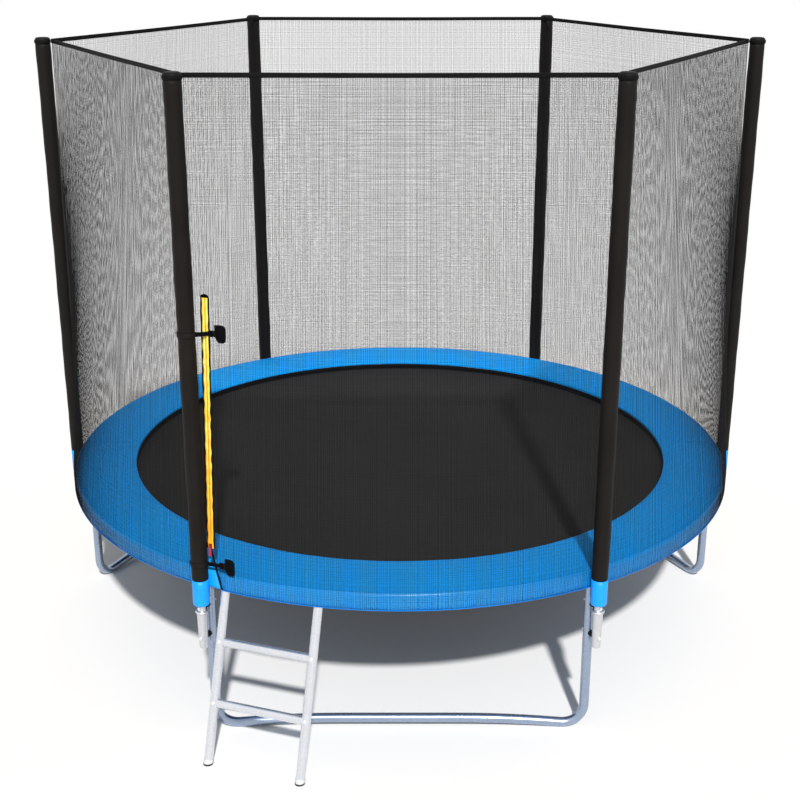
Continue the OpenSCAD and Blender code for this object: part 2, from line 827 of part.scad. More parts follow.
// How far the net turns away from the tangent beside the pole, at mid height
net_turn = side_a / 2 * ((zip_foot_z + zip_top_z) / 2 - net_fold_z) / (net_top_z - net_fold_z);

module zip_tape() {
    color("orange") on_zip(0) {
        translate([-zip_w / 2, -zip_t / 2, 0])
            cube([zip_w, zip_t, zip_len]);
        translate([-zip_ridge_w / 2, -zip_t / 2 - zip_ridge_h, 0])
            cube([zip_ridge_w, zip_ridge_h + weld, zip_len]);
    }
}

bridge_y = -zip_t / 2 - zip_ridge_h - seat - slider_t;

// Slider that grips the ridge of the zip, with a bridge for its pull
module zip_slider() {
    flange_h = zip_ridge_h;
    color("gainsboro") on_zip(0) difference() {
        union() {
            translate([-slider_w / 2, bridge_y, 0])
                cube([slider_w, slider_t + flange_h, slider_len]);
            for (x = [-4.2, 2.2])
                translate([x, bridge_y - bridge_h - bridge_d / 2, slider_len / 2 - 2])
                    cube([2, bridge_h + bridge_d / 2 + weld, 4]);
            translate([-4.2, bridge_y - bridge_h, slider_len / 2])
                rotate([0, 90, 0])
                    cylinder(d = bridge_d, h = 8.4);
        }
        translate([-zip_ridge_w / 2 - seat, bridge_y + slider_t, -past])
            cube([zip_ridge_w + 2 * seat, slider_t, slider_len + 2 * past]);
    }
}

module zip_pull() {
    pull_w = 3.6;
    grip_w = 9;
    thick = 1.6;
    color("crimson") on_zip(slider_len / 2) translate([0, bridge_y - bridge_h, 0]) difference() {
        union() {
            rotate([0, 90, 0])
                translate([0, 0, -pull_w / 2])
                    cylinder(d = bridge_d + 2 * running + 1.4, h = pull_w);
            translate([-pull_w / 2, -thick / 2 - 0.6, -slider_len / 2 - 3])
                cube([pull_w, thick, slider_len / 2 + 3]);
            translate([0, thick / 2 - 0.6, -slider_len / 2 - pull_len + grip_w / 2])
                rotate([90, 0, 0]) {
                    cylinder(d = grip_w, h = thick);
                    translate([-grip_w / 2, 0, 0])
                        cube([grip_w, pull_len - grip_w / 2 - 2, thick]);
                }
        }
        rotate([0, 90, 0])
            translate([0, 0, -grip_w])
                cylinder(d = bridge_d + 2 * running, h = 2 * grip_w);
    }
}

// Turns the children so that x runs along the net away from the pole, -y out of it
module on_net(a, z) {
    p = net_point(door_a + a, z);
    q = net_point(door_a + a + 1, z);
    v = q - p;
    translate(p)
        rotate([0, 0, atan2(v[1], v[0])])
            children();
}

clip_y = -strand_h / 2 - clip_gap - clip_h;

// A strap round the sleeve, a tongue over the zip and the socket of a side-release clip
module door_strap(a, z) {
    start = net_point(door_a + a, z);
    v = net_point(door_a + a + 1, z) - start;
    along = v / norm(v);
    out = [along[1], -along[0], 0];
    socket = start + out * (strand_h / 2 + clip_gap + clip_h / 2) + along * weld;
    pole = [pole_circle_r * cos(door_a), pole_circle_r * sin(door_a), z];
    leave_a = door_a + 100;
    leave = pole + (sleeve_d / 2 + 1) * [cos(leave_a), sin(leave_a), 0];
    strap_v = socket - leave;
    difference() {
        translate(pole - [0, 0, strap_w / 2]) difference() {
            cylinder(d = sleeve_d + 3.4, h = strap_w);
            translate([0, 0, -past])
                cylinder(d = sleeve_d + 2 * push, h = strap_w + 2 * past);
        }
        net_space(door_pole);
    }
    translate(leave)
        rotate([0, 0, atan2(strap_v[1], strap_v[0])])
            translate([0, -0.8, -strap_w / 2])
                cube([norm(strap_v), 1.6, strap_w]);
    on_net(a, z) difference() {
        translate([0, clip_y, -buckle_w / 2])
            cube([buckle_len, clip_h, buckle_w]);
        translate([buckle_len - prong_len - 1, clip_y + 1.2, -buckle_w / 2 + 1.8])
            cube([prong_len + 1 + past, clip_h - 2.4, buckle_w - 3.6]);
        for (side = [-1, 1])
            translate([buckle_len - 7, clip_y - past, side * buckle_w / 2 - 2])
                cube([4, clip_h + 2 * past, 4]);
    }
}

module door_straps() {
    color([0.08, 0.08, 0.08]) {
        door_strap(upper_clip_a, upper_strap_z);
        door_strap(lower_clip_a, lower_strap_z);
    }
}

// The plug of a clip with its two prongs, and the tab that holds it to the net
module door_clip(a, z) {
    plug_x = buckle_len + seat;
    slack = 0.4;
    color([0.08, 0.08, 0.08]) on_net(a, z) {
        translate([plug_x, clip_y, -buckle_w / 2])
            cube([4, clip_h, buckle_w]);
        for (side = [-1, 1])
            translate([plug_x - prong_len, clip_y + 1.2 + slack, side * (buckle_w / 2 - 4.6) - 1.8])
                cube([prong_len + weld, clip_h - 2.4 - 2 * slack, 3.6]);
        translate([plug_x - prong_len + 2, clip_y + 1.2 + slack, -1])
            cube([prong_len, clip_h - 2.4 - 2 * slack, 2]);
        translate([plug_x + 3, clip_y + 1, -tab_h / 2])
            cube([tab_len, clip_h - 2, tab_h]);
    }
}

module clip_upper() {
    door_clip(upper_clip_a, upper_strap_z);
}

module clip_lower() {
    door_clip(lower_clip_a, lower_strap_z);
}

// ---- ladder ----

module ladder_place() {
    rotate([0, 0, ladder_dir + 90])
        children();
}

// Turns the children to a point on a rail's axis, counted from the ring, -z down the rail
module on_rail(side, distance) {
    ladder_place()
        translate([side * rail_gap / 2, ladder_top_y, ring_z])
            rotate([-ladder_lean, 0, 0])
                translate([0, 0, -distance])
                    children();
}

// Everything under the height z where the ladder stands
module below(z) {
    ladder_place()
        translate([-rail_gap, -ladder_foot_r - 3 * rail_d, z - 3 * rail_d])
            cube([2 * rail_gap, 6 * rail_d, 3 * rail_d]);
}

module ladder_hook() {
    rotate([0, -90, 0])
        rotate([0, 0, -20])
            translate([0, 0, -hook_w / 2])
                rotate_extrude(angle = 200)
                    translate([hook_in_r, 0])
                        square([hook_t, hook_w]);
}

module ladder_rail(side) {
    color("whitesmoke") difference() {
        on_rail(side, rail_len + rail_d) difference() {
            union() {
                cylinder(d = rail_d, h = rail_len + rail_d);
                translate([0, 0, rail_len + rail_d])
                    ladder_hook();
            }
            translate([0, 0, -past])
                cylinder(d = rail_d - 2 * tube_wall, h = rail_len + rail_d + 2 * past);
            translate([-rail_d, 0, rail_len + rail_d])
                rotate([0, 90, 0])
                    cylinder(r = hook_in_r, h = 2 * rail_d);
        }
        for (n = [1 : rung_count])
            on_rail(side, rail_len * n / (rung_count + 1)) {
                rotate([0, -side * 90, 0])
                    cylinder(d = rung_plug_d + 2 * push, h = rail_d);
                rotate([90, 0, 0])
                    translate([0, 0, -rail_d])
                        cylinder(d = bolt_d + 2 * push, h = 2 * rail_d);
            }
        below(foot_cap_t);
    }
}

module ladder_rungs() {
    color("whitesmoke") for (n = [1 : rung_count])
        difference() {
            on_rail(0, rail_len * n / (rung_count + 1)) {
                translate([-rail_gap / 2, 0, 0])
                    rotate([0, 90, 0])
                        cylinder(d = rung_d, h = rail_gap);
            }
            for (side = [-1, 1])
                on_rail(side, rail_len * n / (rung_count + 1))
                    rung_cope(side);
            on_rail(0, rail_len * n / (rung_count + 1))
                translate([-rail_gap, 0, 0])
                    rotate([0, 90, 0])
                        cylinder(d = rung_plug_d - 2 * tube_wall, h = 2 * rail_gap);
        }
}

// What the rail takes away from the end of a rung, and leaves as a plug, with its bolt hole
module rung_cope(side) {
    difference() {
        translate([0, 0, -rung_d])
            cylinder(d = rail_d + 2 * push, h = 2 * rung_d);
        rotate([0, -side * 90, 0])
            translate([0, 0, -6])
                cylinder(d = rung_plug_d, h = rail_d);
    }
    translate([side > 0 ? 6 : -rung_d - 6, -rung_d, -rung_d])
        cube([rung_d, 2 * rung_d, 2 * rung_d]);
    rotate([90, 0, 0])
        translate([0, 0, -rail_d])
            cylinder(d = bolt_d + 2 * push, h = 2 * rail_d);
}

// Rubber caps on the feet of the rails, cut flat where they stand
module ladder_feet() {
    color([0.2, 0.2, 0.2]) for (side = [-1, 1])
        difference() {
            on_rail(side, rail_len + rail_d)
                cylinder(d = rail_d + 2 * foot_cap_t, h = rail_d + foot_cap_h);
            difference() {
                on_rail(side, rail_len + rail_d)
                    cylinder(d = rail_d + 2 * push, h = 2 * rail_d + foot_cap_h);
                below(foot_cap_t);
            }
            below(0);
        }
}

// ---- nodes ----

frame_rail(0);  // frame_rail_1
frame_rail(1);  // frame_rail_2
frame_rail(2);  // frame_rail_3
frame_rail(3);  // frame_rail_4
frame_rail(4);  // frame_rail_5
frame_rail(5);  // frame_rail_6
leg_extension(0);  // leg_extension_1
leg_extension(1);  // leg_extension_2
leg_extension(2);  // leg_extension_3
leg_extension(3);  // leg_extension_4
leg_extension(4);  // leg_extension_5
leg_extension(5);  // leg_extension_6
leg_base(4.5 * side_a);  // leg_base_front
leg_base(0.5 * side_a);  // leg_base_right
leg_base(2.5 * side_a);  // leg_base_left
lower_poles();
upper_pole(0);  // upper_pole_1
upper_pole(1);  // upper_pole_2
upper_pole(2);  // upper_pole_3
upper_pole(3);  // upper_pole_4
upper_pole(4);  // upper_pole_5
upper_pole(5);  // upper_pole_6
foam_sleeve(0);  // foam_sleeve_1
foam_sleeve(1);  // foam_sleeve_2
foam_sleeve(2);  // foam_sleeve_3
foam_sleeve(3);  // foam_sleeve_4
foam_sleeve(4);  // foam_sleeve_5
foam_sleeve(5);  // foam_sleeve_6
sleeve_ends();
pole_caps();
pole_spacers();
bolts();
nuts();
springs();
v_rings();
jump_mat();
mat_border();
pad_cover();
pad_foam();
pad_ties();
net_panel(0, false);  // net_1
net_panel(side_a, false);  // net_2
net_panel(2 * side_a, false);  // net_3
net_panel(3 * side_a, false);  // net_4
net_panel(5 * side_a, false);  // net_5
net_panel(door_a, true);  // net_door
net_band();
net_loops();
net_hem();
zip_tape();
zip_slider();
zip_pull();
door_straps();
clip_upper();
clip_lower();
ladder_rail(-1);  // ladder_rail_left
ladder_rail(1);  // ladder_rail_right
ladder_rungs();
ladder_feet();
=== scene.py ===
# Garden trampoline: the soft goods, net, springs, finishes, light and camera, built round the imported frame
import math

import bmesh
import bpy
import numpy as np
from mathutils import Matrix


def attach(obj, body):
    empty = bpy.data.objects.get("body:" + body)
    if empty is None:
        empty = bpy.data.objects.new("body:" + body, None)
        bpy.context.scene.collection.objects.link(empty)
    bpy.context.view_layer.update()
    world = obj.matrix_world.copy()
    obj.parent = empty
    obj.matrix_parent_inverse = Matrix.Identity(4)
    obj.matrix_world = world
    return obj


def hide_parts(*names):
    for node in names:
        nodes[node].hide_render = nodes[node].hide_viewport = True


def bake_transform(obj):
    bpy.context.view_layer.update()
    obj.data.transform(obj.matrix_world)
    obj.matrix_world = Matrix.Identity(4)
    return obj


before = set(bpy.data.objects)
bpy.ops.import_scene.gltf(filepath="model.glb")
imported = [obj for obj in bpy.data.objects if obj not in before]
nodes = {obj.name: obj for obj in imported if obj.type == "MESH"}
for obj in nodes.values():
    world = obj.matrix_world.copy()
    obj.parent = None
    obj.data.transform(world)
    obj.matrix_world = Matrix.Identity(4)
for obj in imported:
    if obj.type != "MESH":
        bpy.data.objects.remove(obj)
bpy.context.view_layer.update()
randomSource = np.random.default_rng(11)

ring = {"radius": 1.233, "height": 0.566}
poles = {"circle": 1.279, "radius": 0.013, "step": 60.0, "door": 240.0}


# Small helpers

def rgb(red, green, blue):  # screen values, 0 to 255, as linear colour
    def line(v):
        v = v / 255
        return v / 12.92 if v <= 0.04045 else ((v + 0.055) / 1.055) ** 2.4
    return (line(red), line(green), line(blue), 1.0)


def cosD(degrees):
    return np.cos(np.radians(degrees))


def sinD(degrees):
    return np.sin(np.radians(degrees))


def polar(radius, degrees, height=0.0):
    return np.stack(np.broadcast_arrays(radius * cosD(degrees), radius * sinD(degrees), height), -1)


def evenTurn(count):
    return np.arange(count) * 360 / count


def turnZ(points, degrees):
    c, s = cosD(degrees), sinD(degrees)
    p = np.asarray(points, float)
    return np.stack([c * p[..., 0] - s * p[..., 1], s * p[..., 0] + c * p[..., 1], p[..., 2]], -1)


def addObject(name, data):
    made = bpy.data.objects.new(name, data)
    bpy.context.scene.collection.objects.link(made)
    return made


def meshPiece(name, verts, faces, paint, smooth=True):
    mesh = bpy.data.meshes.new(name)
    mesh.from_pydata([tuple(v) for v in verts], [], [tuple(f) for f in faces])
    mesh.update()
    if smooth:
        mesh.shade_smooth()
    mesh.materials.append(paints[paint])
    return addObject(name, mesh)


def faceOut(piece):  # merges doubles and turns every face outwards
    work = bmesh.new()
    work.from_mesh(piece.data)
    bmesh.ops.remove_doubles(work, verts=work.verts, dist=1e-6)
    bmesh.ops.recalc_face_normals(work, faces=work.faces)
    work.to_mesh(piece.data)
    work.free()
    return piece


def gridFaces(rows, columns, closeRows=False, closeColumns=False, start=0):
    faces = []
    for i in range(rows if closeRows else rows - 1):
        for j in range(columns if closeColumns else columns - 1):
            a, b = i * columns, (i + 1) % rows * columns
            k = (j + 1) % columns
            faces.append((start + a + j, start + b + j, start + b + k, start + a + k))
    return faces


def endFaces(first, last, count):  # closes the two ends of a tube whose rings start at first and last
    return [tuple(first + i for i in range(count))[::-1], tuple(last + i for i in range(count))]


def takeShape(piece):  # the corners and faces of a piece, which goes
    shape = [tuple(v.co) for v in piece.data.vertices], [tuple(f.vertices) for f in piece.data.polygons]
    bpy.data.objects.remove(piece)
    return shape


def joinShapes(shapes):
    verts, faces = [], []
    for partVerts, partFaces in shapes:
        start = len(verts)
        verts += [tuple(v) for v in partVerts]
        faces += [tuple(start + i for i in f) for f in partFaces]
    return verts, faces


def gather(name, parts, paint):  # several plain pieces as one
    return meshPiece(name, *joinShapes([takeShape(part) for part in parts]), paint)


def settle(piece, body, slotName, *replaced):
    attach(piece, body)
    if replaced:
        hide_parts(*replaced)
    return piece


# Geometry node trees

def addSockets(tree, sockets):
    ids = {}
    for label, kind, value in sockets:
        socket = tree.interface.new_socket(label, in_out="INPUT", socket_type="NodeSocket" + kind)
        if value is not None:
            socket.default_value = value
        ids[label] = socket.identifier
    return ids


def geometryTree(name, sockets, kinds, settings, links):  # each link reads: from.socket > to.socket
    tree = bpy.data.node_groups.new(name, "GeometryNodeTree")
    ids = addSockets(tree, [("Geometry", "Geometry", None), *sockets, ("Material", "Material", None)])
    tree.interface.new_socket("Geometry", in_out="OUTPUT", socket_type="NodeSocketGeometry")
    kinds = {"put": "NodeGroupInput", "out": "NodeGroupOutput", "real": "GeometryNodeRealizeInstances",
             "paint": "GeometryNodeSetMaterial", **kinds}
    parts = {label: tree.nodes.new(kind) for label, kind in kinds.items()}
    for label, what, value in settings:
        setattr(parts[label], what, value)
    for link in links + ["real.Geometry > paint.Geometry", "put.Material > paint.Material",
                         "paint.Geometry > out.Geometry"]:
        (source, given), (target, taken) = (end.split(".") for end in link.split(" > "))
        given, taken = (int(socket) if socket.isdigit() else socket for socket in (given, taken))
        tree.links.new(parts[source].outputs[given], parts[target].inputs[taken])
    return tree, ids, parts


def strandTree():  # sweeps every line of an edge mesh into a thin round strand
    tree, ids, parts = geometryTree(
        "strandSweep", [("Radius", "Float", 0.001), ("Sides", "Int", 3)],
        {"toCurve": "GeometryNodeMeshToCurve", "profile": "GeometryNodeCurvePrimitiveCircle",
         "sweep": "GeometryNodeCurveToMesh"}, [],
        ["put.Geometry > toCurve.Mesh", "toCurve.Curve > sweep.Curve", "put.Sides > profile.Resolution",
         "put.Radius > profile.Radius", "profile.Curve > sweep.Profile Curve", "sweep.Mesh > real.Geometry"])
    parts["sweep"].inputs["Fill Caps"].default_value = True
    return tree, ids


def aroundTree():  # repeats a shape at even angles round the ring's axis
    tree, ids, parts = geometryTree(
        "aroundTheRing", [("Count", "Int", 48), ("Start angle", "Float", 0.0)],
        {"line": "GeometryNodeMeshLine", "index": "GeometryNodeInputIndex", "share": "ShaderNodeMath",
         "times": "ShaderNodeMath", "plus": "ShaderNodeMath", "angle": "ShaderNodeCombineXYZ",
         "place": "GeometryNodeInstanceOnPoints"},
        [("share", "operation", "DIVIDE"), ("times", "operation", "MULTIPLY"), ("plus", "operation", "ADD")],
        ["put.Count > line.Count", "put.Count > share.1", "share.0 > times.0", "index.0 > times.1",
         "times.0 > plus.0", "put.Start angle > plus.1", "plus.0 > angle.Z", "line.Mesh > place.Points",
         "put.Geometry > place.Instance", "angle.Vector > place.Rotation", "place.Instances > real.Geometry"])
    parts["line"].inputs["Offset"].default_value = (0, 0, 0)
    parts["share"].inputs[0].default_value = math.tau
    return tree, ids


def stitchTree():  # lays short rounded stitches along every line of an edge mesh
    tree, ids, parts = geometryTree(
        "stitchRow", [("Pitch", "Float", 0.006), ("Thread", "Float", 0.0005), ("Stitch", "Float", 0.004)],
        {"toCurve": "GeometryNodeMeshToCurve", "points": "GeometryNodeCurveToPoints",
         "thread": "GeometryNodeMeshCylinder", "turn": "GeometryNodeInstanceOnPoints"},
        [("points", "mode", "LENGTH")],
        ["put.Geometry > toCurve.Mesh", "toCurve.Curve > points.Curve", "put.Pitch > points.Length",
         "put.Thread > thread.Radius", "put.Stitch > thread.Depth", "points.Points > turn.Points",
         "points.Rotation > turn.Rotation", "thread.Mesh > turn.Instance", "turn.Instances > real.Geometry"])
    parts["thread"].inputs["Vertices"].default_value = 5
    return tree, ids


trees = {"strand": strandTree(), "around": aroundTree(), "stitch": stitchTree()}


def grow(kind, name, mesh, paint, **values):  # runs a tree on a mesh and keeps the plain result
    tree, ids = trees[kind]
    holder = addObject(name + "Base", mesh)
    modifier = holder.modifiers.new(kind, "NODES")
    modifier.node_group = tree
    modifier[ids["Material"]] = paints[paint]
    for label, value in values.items():
        modifier[ids[label.replace("_", " ")]] = value
    bpy.context.view_layer.update()
    result = bpy.data.meshes.new_from_object(
        holder.evaluated_get(bpy.context.evaluated_depsgraph_get()))
    bpy.data.objects.remove(holder)
    result.name = name
    if not result.materials:
        result.materials.append(paints[paint])
    result.shade_smooth()
    return addObject(name, result)


def lineMesh(name, lines, closed=False):
    verts, edges = [], []
    for line in lines:
        first = len(verts)
        verts += [tuple(p) for p in line]
        edges += [(first + i, first + i + 1) for i in range(len(line) - 1)]
        if closed:
            edges.append((len(verts) - 1, first))
    mesh = bpy.data.meshes.new(name)
    mesh.from_pydata(verts, edges, [])
    return mesh


def string(name, lines, paint, radius, sides, closed=False):
    return grow("strand", name, lineMesh(name + "Lines", lines, closed), paint, Radius=radius, Sides=sides)


def sew(name, rows, thread, sizes, body, slotName, closed=False):  # sizes: pitch, thickness and length
    pitch, thick, length = sizes
    settle(grow("stitch", name, lineMesh(name + "Rows", rows, closed), thread,
                Pitch=pitch, Thread=thick, Stitch=length), body, slotName)


# Shared shader groups

def shaderGroup(name, inputs, outputs):
    group = bpy.data.node_groups.new(name, "ShaderNodeTree")
    addSockets(group, inputs)
    for label in outputs:
        group.interface.new_socket(label, in_out="OUTPUT", socket_type="NodeSocketFloat")
    return group, group.nodes.new("NodeGroupInput"), group.nodes.new("NodeGroupOutput")


def feed(tree, socket, value):  # a plain value, or a link from another node
    if isinstance(value, bpy.types.NodeSocket):
        tree.links.new(value, socket)
    elif value is not None:
        socket.default_value = value


def mathNode(tree, operation, first, second=None):
    node = tree.nodes.new("ShaderNodeMath")
    node.operation = operation
    feed(tree, node.inputs[0], first)
    feed(tree, node.inputs[1], second)
    return node.outputs[0]


def noiseNode(tree, vector, scale, detail):
    node = tree.nodes.new("ShaderNodeTexNoise")
    for label, value in (("Detail", detail), ("Roughness", 0.55), ("Scale", scale), ("Vector", vector)):
        feed(tree, node.inputs[label], value)
    return node.outputs["Fac"]


def rangeNode(tree, value, start=(0.0, 1.0), end=(0.0, 1.0)):
    node = tree.nodes.new("ShaderNodeMapRange")
    for label, number in zip(("From Min", "From Max", "To Min", "To Max"), (*start, *end)):
        node.inputs[label].default_value = number
    tree.links.new(value, node.inputs["Value"])
    return node


def splitNode(tree, vector):
    node = tree.nodes.new("ShaderNodeSeparateXYZ")
    tree.links.new(vector, node.inputs[0])
    return node.outputs


def lengthNode(tree, vector, scale=None):  # the length of a vector, scaled first if asked
    if scale:
        scaled = tree.nodes.new("ShaderNodeVectorMath")
        scaled.operation, scaled.inputs[1].default_value = "MULTIPLY", scale
        tree.links.new(vector, scaled.inputs[0])
        vector = scaled.outputs[0]
    length = tree.nodes.new("ShaderNodeVectorMath")
    length.operation = "LENGTH"
    tree.links.new(vector, length.inputs[0])
    return length.outputs["Value"]


def weaveGroup():  # over and under threads along the first two coordinates
    group, put, out = shaderGroup("threadWeave", [
        ("Vector", "Vector", None), ("Threads", "Float", 400.0)], ["Height", "Gap"])
    split = splitNode(group, put.outputs["Vector"])
    waves = []
    for axis in ("X", "Y"):
        turns = mathNode(group, "MULTIPLY", split[axis], put.outputs["Threads"])
        waves.append(mathNode(group, "SINE", mathNode(group, "MULTIPLY", turns, math.pi)))
    cross = mathNode(group, "MULTIPLY", mathNode(group, "MULTIPLY", *waves), 0.5)
    group.links.new(mathNode(group, "ADD", cross, 0.5), out.inputs["Height"])
    thin = mathNode(group, "MINIMUM", *(mathNode(group, "ABSOLUTE", wave) for wave in waves))
    group.links.new(mathNode(group, "SUBTRACT", 1.0, thin), out.inputs["Gap"])
    return group


def wearGroup():  # cloudy variation with a finer grain over it
    group, put, out = shaderGroup("cloudAndGrain", [
        ("Vector", "Vector", None), ("Cloud", "Float", 3.0), ("Grain", "Float", 300.0)], ["Cloud", "Grain"])
    for label, detail in (("Cloud", 3.0), ("Grain", 2.0)):
        group.links.new(noiseNode(group, put.outputs["Vector"], put.outputs[label], detail), out.inputs[label])
    return group


def spangleGroup():  # the crystals of hot-dip zinc
    group, put, out = shaderGroup("zincSpangle", [
        ("Vector", "Vector", None), ("Scale", "Float", 90.0)], ["Crystal", "Streak"])
    cell = group.nodes.new("ShaderNodeTexVoronoi")
    for label in ("Vector", "Scale"):
        group.links.new(put.outputs[label], cell.inputs[label])
    tone = group.nodes.new("ShaderNodeSeparateColor")
    group.links.new(cell.outputs["Color"], tone.inputs[0])
    group.links.new(tone.outputs[0], out.inputs["Crystal"])
    group.links.new(noiseNode(group, put.outputs["Vector"], 14.0, 5.0), out.inputs["Streak"])
    return group


groups = {"weave": weaveGroup(), "wear": wearGroup(), "spangle": spangleGroup()}


class Paint:  # one material and the handles its maker needs
    def __init__(self, name, roughness, metallic=0.0, specular=0.5):
        self.material = bpy.data.materials.new(name)
        self.material.use_nodes = True
        self.tree = self.material.node_tree
        self.add, self.wire = self.tree.nodes.new, self.tree.links.new
        self.shader = self.tree.nodes["Principled BSDF"]
        for label, value in (("Roughness", roughness), ("Metallic", metallic), ("Specular IOR Level", specular)):
            self.shader.inputs[label].default_value = value
        self.where = self.add("ShaderNodeTexCoord").outputs["Object"]

    def group(self, kind, **values):
        node = self.add("ShaderNodeGroup")
        node.node_tree = groups[kind]
        self.wire(self.where, node.inputs["Vector"])
        for label, value in values.items():
            node.inputs[label].default_value = value
        return node.outputs

    def ramp(self, factor, places, colours):
        node = self.add("ShaderNodeValToRGB")
        for element, place, colour in zip(node.color_ramp.elements, places, colours):
            element.position, element.color = place, colour
        self.wire(factor, node.inputs["Fac"])
        return node.outputs["Color"]

    def mix(self, factor, first, second):
        node = self.add("ShaderNodeMix")
        node.data_type = "RGBA"
        for place, value in (("Factor", factor), (6, first), (7, second)):
            feed(self.tree, node.inputs[place], value)
        return node.outputs[2]

    def colour(self, value):
        self.wire(value, self.shader.inputs["Base Color"])

    def rough(self, factor, low, high):
        self.wire(rangeNode(self.tree, factor, end=(low, high)).outputs["Result"], self.shader.inputs["Roughness"])

    def bump(self, height, strength, distance, after=None):
        node = self.add("ShaderNodeBump")
        node.inputs["Strength"].default_value, node.inputs["Distance"].default_value = strength, distance
        self.wire(height, node.inputs["Height"])
        feed(self.tree, node.inputs["Normal"], after)
        self.wire(node.outputs["Normal"], self.shader.inputs["Normal"])
        return node.outputs["Normal"]


def zincPaint(name, colours, roughness, spangle):
    paint = Paint(name, roughness, metallic=0.85)
    zinc = paint.group("spangle", Scale=spangle)
    tone = mathNode(paint.tree, "ADD", mathNode(paint.tree, "MULTIPLY", zinc["Crystal"], 0.45),
                    mathNode(paint.tree, "MULTIPLY", zinc["Streak"], 0.55))
    paint.colour(paint.ramp(tone, (0.2, 0.8), colours))
    paint.rough(zinc["Streak"], roughness - 0.04, roughness + 0.05)
    paint.bump(zinc["Streak"], 0.05, 0.0003)
    return paint.material


def clothPaint(name, colours, threads, roughness, cloud=3.0, specular=0.3):
    paint = Paint(name, roughness, specular=specular)
    weave = paint.group("weave", Threads=threads)
    wear = paint.group("wear", Cloud=cloud, Grain=220.0)
    cloudy = paint.ramp(wear["Cloud"], (0.3, 0.75), colours)
    shade = tuple(0.35 * c for c in colours[0][:3]) + (1,)
    paint.colour(paint.mix(mathNode(paint.tree, "MULTIPLY", weave["Gap"], 0.35), cloudy, shade))
    paint.bump(weave["Height"], 0.5, 0.0003)
    return paint.material


def vinylPaint(name, colours, roughness, cloud=2.5, specular=0.45, shineAt=None):
    paint = Paint(name, roughness, specular=specular)
    if shineAt:  # a glossy coat only where the cloth is stretched over the outer fold
        reach = lengthNode(paint.tree, paint.where, (1, 1, 0))
        shine = rangeNode(paint.tree, reach, start=shineAt)
        paint.wire(shine.outputs["Result"], paint.shader.inputs["Coat Weight"])
        paint.shader.inputs["Coat Roughness"].default_value = 0.28
    wear = paint.group("wear", Cloud=cloud, Grain=900.0)
    paint.colour(paint.ramp(wear["Cloud"], (0.3, 0.7), colours))
    paint.rough(wear["Grain"], roughness - 0.05, roughness + 0.08)
    first = paint.bump(wear["Grain"], 0.25, 0.0003)
    paint.bump(wear["Cloud"], 0.2, 0.004, after=first)
    return paint.material


def plasticPaint(name, colours, roughness, specular=0.4):
    paint = Paint(name, roughness, specular=specular)
    wear = paint.group("wear", Cloud=9.0, Grain=700.0)
    paint.colour(paint.ramp(wear["Cloud"], (0.35, 0.75), colours))
    paint.rough(wear["Cloud"], roughness - 0.06, roughness + 0.08)
    paint.bump(wear["Grain"], 0.3, 0.0002)
    return paint.material


def footPaint(name, colours, sole, height):  # pale plastic over a dark sole
    paint = Paint(name, 0.5, specular=0.35)
    wear = paint.group("wear", Cloud=12.0, Grain=500.0)
    body = paint.ramp(wear["Cloud"], (0.35, 0.75), colours)
    above = mathNode(paint.tree, "GREATER_THAN", splitNode(paint.tree, paint.where)["Z"], height)
    paint.colour(paint.mix(above, sole, body))
    paint.bump(wear["Grain"], 0.3, 0.0002)
    return paint.material


def zipPaint(name, heights, low, high):  # low and high: the cloth's tones at two heights; low is its own golden tone, high is lighter as a painted highlight towards the top
    paint = Paint(name, 0.45, specular=0.3)
    wear = paint.group("wear", Cloud=42.0, Grain=260.0)
    weave = paint.group("weave", Threads=1100.0)
    # painted highlight: the colour moves from the golden tones to the lighter ones going up the zip
    highlightTowardsTop = rangeNode(paint.tree, splitNode(paint.tree, paint.where)["Z"], start=heights)
    tonesWithHighlight = [paint.ramp(wear["Cloud"], (0.35, 0.65), colours) for colours in (low, high)]
    paint.colour(paint.mix(highlightTowardsTop.outputs["Result"], *tonesWithHighlight))
    paint.bump(weave["Height"], 0.4, 0.0003)
    return paint.material


def pair(first, second):  # a dark and a light tone
    return rgb(*first), rgb(*second)


